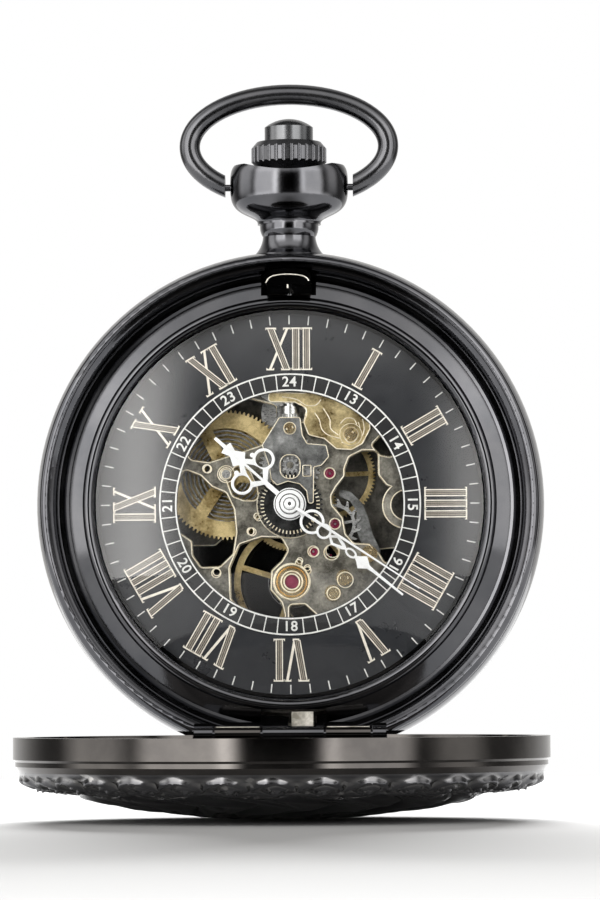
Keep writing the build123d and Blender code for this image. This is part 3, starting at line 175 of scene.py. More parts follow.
CASE = black_metal("case_black", (0.078, 0.080, 0.087), (0.12, 0.12, 0.127), 0.08, 0.16, 0.05)
BEZEL = black_metal("bezel_black", (0.07, 0.072, 0.078), (0.105, 0.105, 0.11), 0.08, 0.15, 0.05)
BOW = black_metal("bow_black", (0.075, 0.077, 0.083), (0.11, 0.11, 0.115), 0.16, 0.26, 0.08)
CROWN = black_metal("crown_black", (0.085, 0.087, 0.095), (0.12, 0.12, 0.125), 0.2, 0.34)
BUTTON = black_metal("button_black", (0.12, 0.125, 0.13), (0.17, 0.17, 0.175), 0.22, 0.34)
LID = black_metal("lid_black", (0.062, 0.058, 0.056), (0.105, 0.098, 0.092), 0.06, 0.12, 0.04)


def ornament_metal():
    m = Mat("lid_ornament_black", metallic=1.0)
    cloud = m.noise(420, 5, 0.6)
    # Pointy, raised parts of the relief are mixed to a pale grey: a painted highlight on the ridges.
    ridge_highlight = m.t.nodes.new("ShaderNodeNewGeometry").outputs["Pointiness"]
    m.base(m.mix(m.spread(ridge_highlight, 0.0, 1.0, 0.49, 0.56),
                 m.ramp(cloud, [(0.3, (0.085, 0.085, 0.09)), (0.75, (0.14, 0.14, 0.145))]),
                 (0.34, 0.335, 0.33)))
    m.rough(m.spread(cloud, 0.14, 0.28))
    m.bump(m.noise(3500, 4, 0.6), 0.12, 0.000008)
    return m


ORNAMENT = ornament_metal()


def plate_metal(name, dark, light, edge, rough=(0.34, 0.56), bevels=True):
    """Black nickel plate: mottled flat faces and walls, polished gilt bevels."""
    m = Mat(name, metallic=0.85)
    blotch = m.noise(620, 8, 0.68)
    grit = m.noise(4200, 4, 0.7)
    tone = m.math("ADD", m.math("MULTIPLY", blotch, 0.75), m.math("MULTIPLY", grit, 0.25))
    face = m.ramp(tone, [(0.4, dark), (0.58, light), (0.7, tuple(min(1, c * 1.8) for c in light))])
    if bevels:
        slope = m.slope()
        on_bevel = m.math("MULTIPLY", m.math("LESS_THAN", slope, 0.93), m.math("GREATER_THAN", slope, 0.25))
        face = m.mix(on_bevel, face, edge)
        m.rough(m.mix(on_bevel, m.spread(tone, *rough), (0.22, 0.22, 0.22)))
    else:
        m.rough(m.spread(tone, *rough))
    m.base(face)
    m.bump(m.math("ADD", blotch, m.math("MULTIPLY", grit, 0.3)), 0.22, 0.000015)
    return m


PLATE = plate_metal("plate_black_nickel", (0.07, 0.064, 0.052), (0.25, 0.235, 0.20), (0.95, 0.86, 0.66))
COVER = plate_metal("motion_black_nickel", (0.085, 0.085, 0.083), (0.23, 0.23, 0.225), (0.95, 0.86, 0.66))
TRAIN_SIDE = plate_metal("bridge_black_nickel", (0.05, 0.047, 0.042), (0.15, 0.14, 0.12), (0.8, 0.7, 0.5))
# Near-black without bevels: painted shade, for the hour wheel in its recess round the hub and for the hole of the
# seconds hub.
SHADE_BLACK = plate_metal("painted_shade_black", (0.016, 0.016, 0.016), (0.05, 0.05, 0.05), (0.2, 0.2, 0.2), (0.3, 0.5),
                      bevels=False)
RING = plate_metal("ring_dark", (0.05, 0.048, 0.045), (0.12, 0.11, 0.10), (0.5, 0.45, 0.35), bevels=False)


def gilt(name, deep, bright, rough=(0.24, 0.42)):
    m = Mat(name, metallic=1.0)
    cloud = m.noise(430, 7, 0.66)
    grain = m.noise(4200, 3, 0.6)
    m.base(m.ramp(m.math("ADD", m.math("MULTIPLY", cloud, 0.8), m.math("MULTIPLY", grain, 0.2)),
                  [(0.38, deep), (0.6, bright)]))
    m.rough(m.spread(m.math("ADD", m.math("MULTIPLY", cloud, 0.5), m.math("MULTIPLY", grain, 0.5)), *rough))
    m.bump(m.math("ADD", grain, m.math("MULTIPLY", m.noise(1500, 3, 0.5, (1, 1, 7)), 0.6)), 0.2, 0.00001)
    return m


GOLD = gilt("gilt_brass", (0.34, 0.235, 0.085), (0.88, 0.70, 0.36))
GOLD_COVER = gilt("gilt_cover", (0.28, 0.20, 0.085), (0.86, 0.70, 0.38))
GOLD_SCREW = gilt("gilt_screw", (0.74, 0.54, 0.28), (0.96, 0.80, 0.50), (0.2, 0.28))


def steel(name, dark, light, rough=(0.22, 0.4), brushed=(1, 1, 9)):
    m = Mat(name, metallic=1.0)
    cloud = m.noise(700, 5, 0.6)
    lines = m.noise(2600, 4, 0.6, brushed)
    m.base(m.ramp(m.math("ADD", m.math("MULTIPLY", cloud, 0.5), m.math("MULTIPLY", lines, 0.5)),
                  [(0.32, dark), (0.66, light)]))
    m.rough(m.spread(lines, *rough))
    m.bump(lines, 0.15, 0.00001)
    return m


STEEL = steel("steel_polished", (0.36, 0.36, 0.36), (0.78, 0.77, 0.75))
# Dark steel for the thin rings at the hubs' steps: painted shade.
STEP_SHADE = steel("step_shade_steel", (0.10, 0.10, 0.10), (0.26, 0.255, 0.25))
SPRING = steel("spring_steel", (0.22, 0.22, 0.22), (0.45, 0.44, 0.43))
SILVER = steel("hand_silver", (0.86, 0.86, 0.86), (0.97, 0.97, 0.97), (0.3, 0.42), (1, 1, 1))
SILVER.set(SILVER.b, "Metallic", 0.35)


def ruby():
    m = Mat("ruby", (0.2, 0.02, 0.06), 0.0, 0.08)
    m.base(m.ramp(m.noise(900, 4, 0.5), [(0.3, (0.11, 0.008, 0.03)), (0.7, (0.30, 0.03, 0.08))]))
    m.bump(m.noise(1800, 2, 0.5), 0.05, 0.00001)
    m.set(m.b, "Coat Weight", 0.6)
    return m


RUBY = ruby()


def dial_black(name, tint):
    m = Mat(name, rough=0.3)
    cloud = m.noise(260, 5, 0.6)
    m.base(m.ramp(cloud, [(0.3, tint), (0.75, tuple(c * 1.35 for c in tint))]))
    m.rough(m.spread(m.noise(500, 4, 0.6), 0.26, 0.36))
    m.bump(m.noise(700, 3, 0.6), 0.03, 0.000004)
    m.set(m.b, "Coat Weight", 0.25)
    m.set(m.b, "Coat Roughness", 0.08)
    return m


DIAL = dial_black("dial_gloss_black", (0.015, 0.016, 0.019))
CHAPTER = dial_black("chapter_gloss_black", (0.014, 0.014, 0.015))


def print_ink(name, low, high):
    m = Mat(name, metallic=0.0, rough=0.45)
    m.base(m.ramp(m.noise(1600, 4, 0.6), [(0.3, low), (0.7, high)]))
    m.rough(m.spread(m.noise(6000, 2, 0.5), 0.38, 0.55))
    m.bump(m.noise(7000, 2, 0.5), 0.1, 0.000006)
    return m


CREAM = Mat("gilt_edge", (0.9, 0.82, 0.64), 0.35, 0.35)
CREAM.base(CREAM.ramp(CREAM.noise(1500, 4, 0.6), [(0.3, (0.72, 0.60, 0.40)), (0.62, (0.97, 0.90, 0.74))]))
CREAM.rough(CREAM.spread(CREAM.noise(4000, 3, 0.6), 0.25, 0.45))
WORN = plate_metal("worn_steel", (0.34, 0.32, 0.27), (0.72, 0.69, 0.62), (0.9, 0.86, 0.78), (0.3, 0.5),
                   bevels=False)
LINE = print_ink("numeral_line", (0.68, 0.63, 0.54), (0.88, 0.82, 0.72))
FINE = print_ink("numeral_fine_line", (0.26, 0.23, 0.18), (0.40, 0.35, 0.28))
WHITE = print_ink("ring_line", (0.62, 0.62, 0.60), (0.82, 0.81, 0.78))


def hatch():
    m = Mat("numeral_hatch", rough=0.45)
    wave = m.new("ShaderNodeTexWave", Scale=1500.0, Distortion=1.5, Detail=1.0)
    m.link(m.mapped((1, 1, 1)), wave.inputs["Vector"])
    m.base(m.mix(wave.outputs["Fac"], (0.05, 0.043, 0.035), (0.13, 0.11, 0.09)))
    m.bump(wave.outputs["Fac"], 0.3, 0.000006)
    return m


HATCH = hatch()


def crystal():
    """Clear glass whose outer face alone reflects, so that the dial shows at every angle."""
    m = bpy.data.materials.new("crystal_clear")
    m.use_nodes = True
    t = m.node_tree
    t.nodes.clear()
    out = t.nodes.new("ShaderNodeOutputMaterial")
    mix = t.nodes.new("ShaderNodeMixShader")
    clear = t.nodes.new("ShaderNodeBsdfTransparent")
    gloss = t.nodes.new("ShaderNodeBsdfGlossy")
    fresnel = t.nodes.new("ShaderNodeFresnel")
    noise = t.nodes.new("ShaderNodeTexNoise")
    rough = t.nodes.new("ShaderNodeMapRange")
    coord = t.nodes.new("ShaderNodeTexCoord")
    fresnel.inputs["IOR"].default_value = 1.52
    gloss.inputs["Color"].default_value = (1, 1, 1, 1)
    clear.inputs["Color"].default_value = (0.97, 0.975, 0.975, 1)
    noise.inputs["Scale"].default_value = 120
    rough.inputs["To Min"].default_value = 0.015
    rough.inputs["To Max"].default_value = 0.05
    t.links.new(coord.outputs["Object"], noise.inputs["Vector"])
    t.links.new(noise.outputs["Fac"], rough.inputs["Value"])
    t.links.new(rough.outputs["Result"], gloss.inputs["Roughness"])
    outside = t.nodes.new("ShaderNodeMath")
    outside.operation = "SUBTRACT"
    outside.inputs[0].default_value = 1.0
    t.links.new(t.nodes.new("ShaderNodeNewGeometry").outputs["Backfacing"], outside.inputs[1])
    shine = t.nodes.new("ShaderNodeMath")
    shine.operation = "MULTIPLY"
    t.links.new(fresnel.outputs["Fac"], shine.inputs[0])
    t.links.new(outside.outputs["Value"], shine.inputs[1])
    t.links.new(shine.outputs["Value"], mix.inputs["Fac"])
    t.links.new(clear.outputs[0], mix.inputs[1])
    t.links.new(gloss.outputs[0], mix.inputs[2])
    t.links.new(mix.outputs[0], out.inputs["Surface"])
    return m


def paint(material, *names):
    for name in names:
        for slot in NODES[name].material_slots:
            slot.material = material


paint(CASE.m, "case_band", "back_cover", "pendant", "hinge_pin", "bow_pins", "latch_spring")
paint(BEZEL.m, "bezel")
paint(BOW.m, "bow")
paint(CROWN.m, "crown")
paint(BUTTON.m, "release_button")
paint(LID.m, "lid")
paint(WORN.m, "lift_spring")
paint(RING.m, "movement_ring")
paint(PLATE.m, "mainplate")
paint(COVER.m, "motion_bridge", "side_bridge")
# The hour wheel is painted near-black: painted shade of the recess round the hub.
paint(SHADE_BLACK.m, "hour_wheel")
paint(TRAIN_SIDE.m, "barrel_bridge", "train_bridge", "balance_cock")
paint(GOLD.m, "barrel_drum", "barrel_cover", "centre_wheel", "third_wheel", "seconds_wheel", "balance_wheel",
      "pallet_bridge")
paint(GOLD_COVER.m, "keyless_cover")
paint(GOLD_SCREW.m, "dial_screws", "case_screws", "shock_settings")
paint(STEEL.m, "stem", "winding_pinion", "sliding_pinion", "setting_lever", "yoke", "setting_wheel", "click",
      "barrel_arbor", "ratchet_wheel", "crown_wheel", "centre_pinion", "third_pinion", "escape_pinion",
      "escape_wheel", "pallet_fork", "balance_staff", "cannon_pinion", "minute_wheel", "bridge_screws")
paint(SPRING.m, "mainspring", "hairspring")
paint(RUBY.m, "jewels", "pallet_stones")
paint(DIAL.m, "dial")
paint(CHAPTER.m, "chapter_ring")
paint(SILVER.m, "hour_hand", "minute_hand", "seconds_hand")
paint(crystal(), "crystal")


# ---------------------------------------------------------------- mesh helpers
def piece(name, verts, faces, body, material, smooth_deg=None):
    mesh = bpy.data.meshes.new(name)
    mesh.from_pydata([tuple(v) for v in verts], [], faces)
    mesh.update()
    obj = bpy.data.objects.new(name, mesh)
    scene.collection.objects.link(obj)
    mesh.materials.append(material)
    if smooth_deg is not None:
        mesh.shade_smooth()
        mesh.set_sharp_from_angle(angle=math.radians(smooth_deg))
    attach(obj, body)
    return obj


def at(x, level, z):
    """A point of the dial side, in millimetres: level is the distance in front of the case back."""
    return (x * MM, -level * MM, z * MM)


class Prisms:
    """Thin flat shapes on the dial side, gathered into one piece."""

    def __init__(self):
        self.verts, self.faces = [], []

    def add(self, corners, low, high):
        start, n = len(self.verts), len(corners)
        area = sum(a[0] * b[1] - b[0] * a[1] for a, b in zip(corners, corners[1:] + corners[:1]))
        if area < 0:
            corners = corners[::-1]
        self.verts += [at(x, high, z) for x, z in corners] + [at(x, low, z) for x, z in corners]
        self.faces.append([start + i for i in range(n)])
        self.faces.append([start + n + i for i in reversed(range(n))])
        self.faces += [[start + i, start + n + i, start + n + (i + 1) % n, start + (i + 1) % n] for i in range(n)]

    def ring(self, inner, outer, low, high, steps=180):
        for i in range(steps):
            a, b = 2 * math.pi * i / steps, 2 * math.pi * (i + 1) / steps
            corners = ((inner, a), (outer, a), (outer, b), (inner, b))
            self.add([(r * math.cos(t), r * math.sin(t)) for r, t in corners], low, high)

    def piece(self, name, body, material, slot):
        obj = piece(name, self.verts, self.faces, body, material)
        bm = bmesh.new()
        bm.from_mesh(obj.data)
        bmesh.ops.remove_doubles(bm, verts=bm.verts, dist=1e-8)
        bmesh.ops.recalc_face_normals(bm, faces=bm.faces)
        bm.to_mesh(obj.data)
        bm.free()
        return obj


def radial(angle_deg):
    """Places a point drawn upright at 12 o'clock at a clockwise angle: (across, radius) to (x, z)."""
    a = math.radians(angle_deg)
    return lambda across, radius: (across * math.cos(a) + radius * math.sin(a),
                                   radius * math.cos(a) - across * math.sin(a))


# ---------------------------------------------------------------- dial printing
DIAL_FACE = 7.0
LINE_HEIGHT, FILL_HEIGHT, FINE_HEIGHT, SERIF_HEIGHT = 0.022, 0.012, 0.018, 0.05
lines, fills, fine, ticks = Prisms(), Prisms(), Prisms(), Prisms()
LOW_R, HIGH_R = 12.55, 16.25
BAR_WIDTH, THIN_WIDTH, EDGE = 0.66, 0.24, 0.1
SERIF_WIDTH, HOOK, HOOK_HEIGHT = 0.13, 0.12, 0.048


def band(layer, place, bottom, top, left, right, height):
    """One flat line of a numeral between two offsets from a slanting centre line."""
    low = DIAL_FACE + 0.012 * layer[1]
    layer[0].add([place(bottom + left, LOW_R), place(top + left, HIGH_R), place(top + right, HIGH_R),
                  place(bottom + right, LOW_R)], low, low + height)


def stroke(place, bottom, top, width, step):
    """A numeral's stroke: thin ones are solid, thick ones are outlined with fine lines along the inside."""
    half = width / 2
    if width < BAR_WIDTH:
        band((lines, step), place, bottom, top, -half, half, LINE_HEIGHT)
        return
    band((fills, step), place, bottom, top, EDGE - half, half - EDGE, FILL_HEIGHT)
    for offset in (-0.085, 0.085):
        band((fine, step), place, bottom, top, offset - 0.03, offset + 0.03, FINE_HEIGHT)
    for left in (-half, half - EDGE):
        band((lines, step), place, bottom, top, left, left + EDGE, LINE_HEIGHT)


def serif(place, centre, reach, radius, outward):
    """A numeral's foot or head line, with a short hook at each end."""
    edge, inside = radius + outward * SERIF_WIDTH, radius - outward * HOOK
    lines.add([place(centre - reach, radius), place(centre + reach, radius), place(centre + reach, edge),
               place(centre - reach, edge)], DIAL_FACE, DIAL_FACE + SERIF_HEIGHT)
    for side in (-1, 1):
        tip = centre + side * reach
        lines.add([place(tip, inside), place(tip, edge), place(tip - side * HOOK, edge),
                   place(tip - side * HOOK, radius)], DIAL_FACE, DIAL_FACE + HOOK_HEIGHT)


ADVANCE = {"I": 0.98, "V": 2.1, "X": 2.2}
NUMERALS = ["XII", "I", "II", "III", "IIII", "V", "VI", "VII", "VIII", "IX", "X", "XI"]
for hour, text in enumerate(NUMERALS):
    place = radial(30 * hour)
    total = sum(ADVANCE[c] for c in text)
    cursor = -total / 2
    for c in text:
        centre = cursor + ADVANCE[c] / 2
        if c == "I":
            stroke(place, centre, centre, BAR_WIDTH, 1)
            ends = [(centre, BAR_WIDTH / 2 + 0.2, 1), (centre, BAR_WIDTH / 2 + 0.2, 0)]
        elif c == "V":
            stroke(place, centre + 0.12, centre + 0.8, THIN_WIDTH, 1)
            stroke(place, centre - 0.08, centre - 0.72, BAR_WIDTH, 2)
            ends = [(centre - 0.72, 0.5, 1), (centre + 0.8, 0.36, 1), (centre, 0.3, 0)]
        else:
            stroke(place, centre - 0.78, centre + 0.78, THIN_WIDTH, 1)
            stroke(place, centre + 0.72, centre - 0.72, BAR_WIDTH, 2)
            ends = [(centre - 0.72, 0.5, 1), (centre + 0.78, 0.36, 1), (centre - 0.78, 0.36, 0),
                    (centre + 0.72, 0.5, 0)]
        for x, reach, top in ends:
            serif(place, x, reach, HIGH_R if top else LOW_R, 1 if top else -1)
        cursor += ADVANCE[c]
TICK_INNER, TICK_OUTER, TICK_HEIGHT = 16.68, 17.5, 0.025
for minute in range(60):
    place = radial(6 * minute)
    ticks.add([place(-0.055, TICK_INNER), place(0.055, TICK_INNER), place(0.055, TICK_OUTER),
               place(-0.055, TICK_OUTER)], DIAL_FACE, DIAL_FACE + TICK_HEIGHT)
lines.piece("numeral_lines", "case", LINE.m, "hand_silver")
fills.piece("numeral_fills", "case", HATCH.m, "hand_silver")
fine.piece("numeral_fine_lines", "case", FINE.m, "hand_silver")
ticks.piece("minute_ticks", "case", WHITE.m, "hand_silver")

RING_FACE, NUMBER_RADIUS, NUMBER_SIZE, NUMBER_DEPTH = 7.12, 11.31, 1.3, 0.012
FIRST_UPRIGHT_HOUR, LAST_UPRIGHT_HOUR = 4, 8
ring = Prisms()
for inner, outer in ((11.98, 12.12), (10.5, 10.64)):
    ring.ring(inner, outer, RING_FACE - 0.02, RING_FACE + 0.03)
for hour in range(12):
    for offset in (-12, -6, 6, 12):
        place = radial(30 * hour + offset)
        ring.add([place(-0.05, 10.6), place(0.05, 10.6), place(0.05, 12.0), place(-0.05, 12.0)],
                 RING_FACE, RING_FACE + 0.025)
ring.piece("ring_lines", "case", WHITE.m, "hand_silver")
for hour in range(12):
    curve = bpy.data.curves.new(f"ring_number_{hour}", "FONT")
    curve.body = str(24 if hour == 0 else 12 + hour)
    curve.size = NUMBER_SIZE * MM
    curve.extrude = NUMBER_DEPTH * MM
    curve.offset = 0.022 * MM
    curve.align_x = "CENTER"
    curve.align_y = "CENTER"
    curve.space_character = 1.08
    text = bpy.data.objects.new(curve.name + "_text", curve)
    scene.collection.objects.link(text)
    bpy.context.view_layer.update()
    flat = bpy.data.meshes.new_from_object(text.evaluated_get(bpy.context.evaluated_depsgraph_get()))
    bpy.data.objects.remove(text)
    angle = math.radians(30 * hour)
    upright = math.radians(180 if FIRST_UPRIGHT_HOUR <= hour <= LAST_UPRIGHT_HOUR else 0)
    flat.transform(Matrix.Rotation(angle, 4, "Y")
                   @ Matrix.Translation(at(0, RING_FACE + NUMBER_DEPTH, NUMBER_RADIUS))
                   @ Matrix.Rotation(upright, 4, "Y") @ Matrix.Rotation(math.radians(90), 4, "X"))
    number = bpy.data.objects.new(f"ring_number_{hour}", flat)
    scene.collection.objects.link(number)
    flat.materials.clear()
    flat.materials.append(WHITE.m)
    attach(number, "case")


# ---------------------------------------------------------------- rounded copies of flat CAD pieces
def rounded(node, body, material, width_mm):
    """A copy of a CAD piece with its sharp edges rounded off, in place of it."""
    mesh = NODES[node].data.copy()
    mesh.name = node + "_rounded"
    bm = bmesh.new()
    bm.from_mesh(mesh)
    bmesh.ops.remove_doubles(bm, verts=bm.verts, dist=2e-7)
    bmesh.ops.dissolve_limit(bm, angle_limit=0.01, verts=bm.verts, edges=bm.edges)
    sharp = [e for e in bm.edges if len(e.link_faces) == 2 and e.calc_face_angle(0) > 0.9]
    bmesh.ops.bevel(bm, geom=sharp, offset=width_mm * MM, offset_type="OFFSET", segments=3, profile=0.5,
                    affect="EDGES", clamp_overlap=True)
    bm.to_mesh(mesh)
    bm.free()
    obj = bpy.data.objects.new(node + "_rounded", mesh)
    scene.collection.objects.link(obj)
    mesh.materials.clear()
    mesh.materials.append(material)
    mesh.shade_smooth()
    mesh.set_sharp_from_angle(angle=math.radians(35))
    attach(obj, body)
    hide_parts(node)


for hand, body, width in (("hour_hand", "hour", 0.05), ("minute_hand", "centre", 0.045),
                          ("seconds_hand", "seconds", 0.03)):
    rounded(hand, body, SILVER.m, width)


def turned(name, profile, body, material, steps=96, smooth=30):
    """A closed ring turned about the hands' axis from (radius, level) corners."""
    verts, faces, n = [], [], len(profile)
    for i in range(steps):
        a = 2 * math.pi * i / steps
        verts += [at(r * math.cos(a), level, r * math.sin(a)) for r, level in profile]
    for i in range(steps):
        j = (i + 1) % steps
        faces += [[i * n + k, i * n + (k + 1) % n, j * n + (k + 1) % n, j * n + k] for k in range(n)]
    obj = piece(name, verts, faces, body, material)
    bm = bmesh.new()
    bm.from_mesh(obj.data)
    bmesh.ops.recalc_face_normals(bm, faces=bm.faces)
    bm.to_mesh(obj.data)
    bm.free()
    obj.data.shade_smooth()
    obj.data.set_sharp_from_angle(angle=math.radians(smooth))


# Thin dark rings where each hub steps down to the next: painted shade at the steps.
for name, radius, level, body in (("hour_hub_step_shade", 1.36, 7.44, "hour"),
                                  ("minute_hub_step_shade", 0.93, 7.73, "centre")):
    turned(name, [(radius - 0.05, level), (radius - 0.05, level + 0.03), (radius + 0.05, level + 0.03),
                  (radius + 0.05, level)], body, STEP_SHADE.m)
turned("seconds_hub_cap", [(0.17, 8.0), (0.17, 8.16), (0.3, 8.2), (0.42, 8.16), (0.46, 8.0)], "seconds",
       SILVER.m)
# A dark disc in the middle of the seconds hub: painted shade of its hole.
turned("seconds_hub_hole_shade", [(0.02, 8.05), (0.02, 8.13), (0.175, 8.13), (0.175, 8.05)], "seconds", SHADE_BLACK.m)
# A dark ring round the seconds hub's cap: painted shade at its step.
turned("seconds_hub_step_shade", [(0.52, 8.0), (0.52, 8.05), (0.6, 8.05), (0.6, 8.0)], "seconds", STEP_SHADE.m)


# ---------------------------------------------------------------- gilt lines along the movement's edges
def tubes(name, routes, radius_mm, body, material, closed=True):
    """Round lines that follow routes of points, as one mesh piece."""
    curve = bpy.data.curves.new(name + "_route", "CURVE")
    curve.dimensions = "3D"
    curve.bevel_depth = radius_mm * MM
    curve.bevel_resolution = 2
    for route in routes:
        spline = curve.splines.new("POLY")
        spline.points.add(len(route) - 1)
        for point, co in zip(spline.points, route):
            point.co = (*co, 1)
        spline.use_cyclic_u = closed
    curve.use_fill_caps = not closed
    holder = bpy.data.objects.new(name + "_route", curve)
    scene.collection.objects.link(holder)
    bpy.context.view_layer.update()
    mesh = bpy.data.meshes.new_from_object(holder.evaluated_get(bpy.context.evaluated_depsgraph_get()))
    bpy.data.objects.remove(holder)
    obj = bpy.data.objects.new(name, mesh)
    scene.collection.objects.link(obj)
    mesh.materials.clear()
    mesh.materials.append(material)
    mesh.shade_smooth()
    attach(obj, body)


OPENING_RADIUS = 10.9


def rims(node, level):
    """The closed outlines of a CAD piece's flat face at a level, as far as the dial's opening shows them."""
    bm = bmesh.new()
    bm.from_mesh(NODES[node].data)
    bmesh.ops.remove_doubles(bm, verts=bm.verts, dist=5e-7)
    flat = {f.index for f in bm.faces
            if f.normal.y < -0.99 and abs(-f.calc_center_median().y / MM - level) < 0.02}
    after = {}
    for edge in bm.edges:
        if sum(f.index in flat for f in edge.link_faces) == 1:
            a, b = edge.verts
            after.setdefault(a.index, []).append(b.index)
            after.setdefault(b.index, []).append(a.index)
    bm.verts.ensure_lookup_table()
    place = {i: bm.verts[i].co.copy() for i in after}
    bm.free()
    routes, seen = [], set()
    for start in sorted(after):
        if start in seen:
            continue
        route, here = [start], start
        seen.add(start)
        while True:
            ahead = [i for i in after[here] if i not in seen]
            if not ahead:
                break
            here = ahead[0]
            seen.add(here)
            route.append(here)
        if len(route) > 4:
            routes.append([place[i] for i in route])
    return [r for r in routes if min(math.hypot(p.x, p.z) for p in r) < OPENING_RADIUS * MM]


def top_level(node):
    return -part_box(node)[0].y / MM


PLATE_FACE, COVER_FACE, GOLD_FACE, HOUR_WHEEL_FACE = 5.9, top_level("motion_bridge"), 6.4, 6.43
SHOCK_FACE, BRIDGE_FACE, SCREW_FACE = 6.0, 1.8, 6.1
for node, level, width in (("mainplate", PLATE_FACE, 0.06), ("motion_bridge", COVER_FACE, 0.045),
                           ("side_bridge", top_level("side_bridge"), 0.06), ("barrel_bridge", BRIDGE_FACE, 0.07),
                           ("train_bridge", BRIDGE_FACE, 0.07), ("balance_cock", BRIDGE_FACE, 0.07),
                           ("keyless_cover", GOLD_FACE, 0.055)):
    routes = rims(node, level)
    if routes:
        tubes(node + "_edges", routes, width, "case", CREAM.m)

dashes = Prisms()
for i in range(48):
    place = radial(7.5 * i)
    dashes.add([place(-0.055, 2.44), place(0.055, 2.44), place(0.055, 2.76), place(-0.055, 2.76)],
               HOUR_WHEEL_FACE + 0.01, HOUR_WHEEL_FACE + 0.04)
dashes.piece("hour_wheel_slots", "hour", CREAM.m, "steel")


def arc(centre, radius, start, end, level, steps=40):
    """Points along a circle between two clockwise angles from 12 o'clock."""
    angles = [math.radians(start + (end - start) * i / steps) for i in range(steps + 1)]
    return [at(centre[0] + radius * math.sin(a), level, centre[1] + radius * math.cos(a)) for a in angles]


def smooth(points, level, steps=10):
    """A smooth line through (x, z) points, by Catmull-Rom segments."""
    padded = [points[0]] + points + [points[-1]]
    route = []
    for corners in zip(padded, padded[1:], padded[2:], padded[3:]):
        for i in range(steps):
            t = i / steps
            x, z = (0.5 * (2 * b + (c - a) * t + (2 * a - 5 * b + 4 * c - d) * t * t
                           + (3 * b - a - 3 * c + d) * t ** 3) for a, b, c, d in zip(*corners))
            route.append(at(x, level, z))
    return route + [at(points[-1][0], level, points[-1][1])]


tubes("hour_recess_line", [arc((0, 0), 3.08, 150, 292, PLATE_FACE + 0.03)], 0.06, "case", CREAM.m, False)
tubes("keyless_scrolls", [smooth(p, GOLD_FACE) for p in (
    [(-0.7, 10.0), (0.6, 9.75), (1.5, 9.2), (2.4, 9.2), (2.9, 9.7)],
    [(0.95, 9.35), (1.5, 8.8), (1.55, 8.2), (1.3, 7.75)],
    [(2.3, 8.5), (2.75, 7.8), (2.95, 7.0), (3.5, 6.45), (4.6, 6.1)],
    [(3.1, 8.9), (3.7, 7.9), (3.8, 7.0), (4.5, 6.4)],
    [(4.7, 7.5), (5.2, 7.95), (5.9, 7.9), (6.2, 7.4)],
    [(6.75, 7.9), (6.9, 7.0), (6.6, 6.2), (5.8, 5.75), (4.8, 5.7)],
    [(6.35, 7.6), (6.5, 6.9), (6.2, 6.2), (5.6, 5.95)])], 0.05, "case", CREAM.m, False)
EYELETS = [((0.0, 7.05), COVER_FACE, 0.55), ((0.0, 7.05), COVER_FACE, 0.28), ((-7.65, 3.35), PLATE_FACE, 0.36),
           ((-5.95, 2.88), PLATE_FACE, 0.78), ((-5.95, 2.88), PLATE_FACE, 0.45), ((-2.95, -1.2), PLATE_FACE, 0.28),
           ((-3.55, -2.5), PLATE_FACE, 0.36), ((-6.85, -6.2), PLATE_FACE, 0.34), ((2.2, -4.4), PLATE_FACE, 0.42),
           ((3.9, -4.3), PLATE_FACE, 0.62), ((0.85, -5.2), PLATE_FACE, 0.27), ((1.55, -5.85), PLATE_FACE, 0.27),
           ((5.06, -7.0), SCREW_FACE, 0.72), ((3.97, -8.25), SCREW_FACE, 0.6), ((3.65, 2.9), PLATE_FACE, 0.5),
           ((4.12, -1.8), PLATE_FACE, 0.5), ((5.65, 6.2), 6.5, 0.5)]
tubes("plate_eyelets", [arc(c, r, 0, 351, level, 39) for c, level, r in EYELETS], 0.05, "case", CREAM.m)
tubes("shock_rings", [arc((0.1, -7.15), r, 0, 357, SHOCK_FACE, 119) for r in (0.72, 0.98, 1.62)], 0.07, "case",
      CREAM.m)

# ---------------------------------------------------------------- latch lip and hinge leaves
latch_front = top_level("latch_spring") - 0.1
LATCH_LIP = [(-2.0, 20.25), (-1.75, 20.65), (-1.2, 20.92), (0, 21.03), (1.2, 20.92), (1.75, 20.68), (1.95, 20.4)]
LEAF_LEVEL, LEAF_Z = 9.95, -20.55
tubes("latch_lip", [smooth(LATCH_LIP, latch_front)], 0.12, "latch_spring", WORN.m, False)
tubes("latch_rib", [[at(0.0, latch_front, 19.75), at(0.0, latch_front, 20.15)]], 0.09, "latch_spring", WORN.m,
      False)
tubes("hinge_leaf_lines", [[at(a, LEAF_LEVEL, LEAF_Z), at(b, LEAF_LEVEL, LEAF_Z)]
                           for a, b in ((-6.8, -2.8), (3.4, 7.3))], 0.06, "lid", WORN.m, False)

# ---------------------------------------------------------------- ornament of the lid's outside
LID_Y, LID_Z, LID_EDGE = -30.8, -21.25, 23.35
MOTIFS, PER_MOTIF, MOTIF_WIDTH = 34, 26, 4.15
SCROLL_START, SCROLL_END, LEAF_START, ROPE_AT = 0.4, 5.0, 6.0, 5.62
# the lid's outer profile as (radius, height), from its rim to its centre
LID_PROFILE = [(23.0, -2.62), (22.9, -2.9), (22.75, -3.25), (22.4, -3.62), (21.8, -3.9), (21.0, -4.15), (20.0, -4.42),
               (19.0, -4.66), (18.3, -4.78), (17.9, -4.66), (17.5, -4.62), (17.0, -4.86), (15.5, -5.28),
               (13.0, -5.72), (10.0, -6.12), (7.0, -6.42), (4.0, -6.6), (1.5, -6.68), (0.02, -6.7)]


def bump_at(value, width):
    """A round-topped bump, 1 where the value is 0."""
    return np.exp(-(value / width) ** 2)


def fade_out(value, width):
    """A soft step from 1 below 0 to 0 above it."""
    return 1 / (1 + np.exp(value / width))


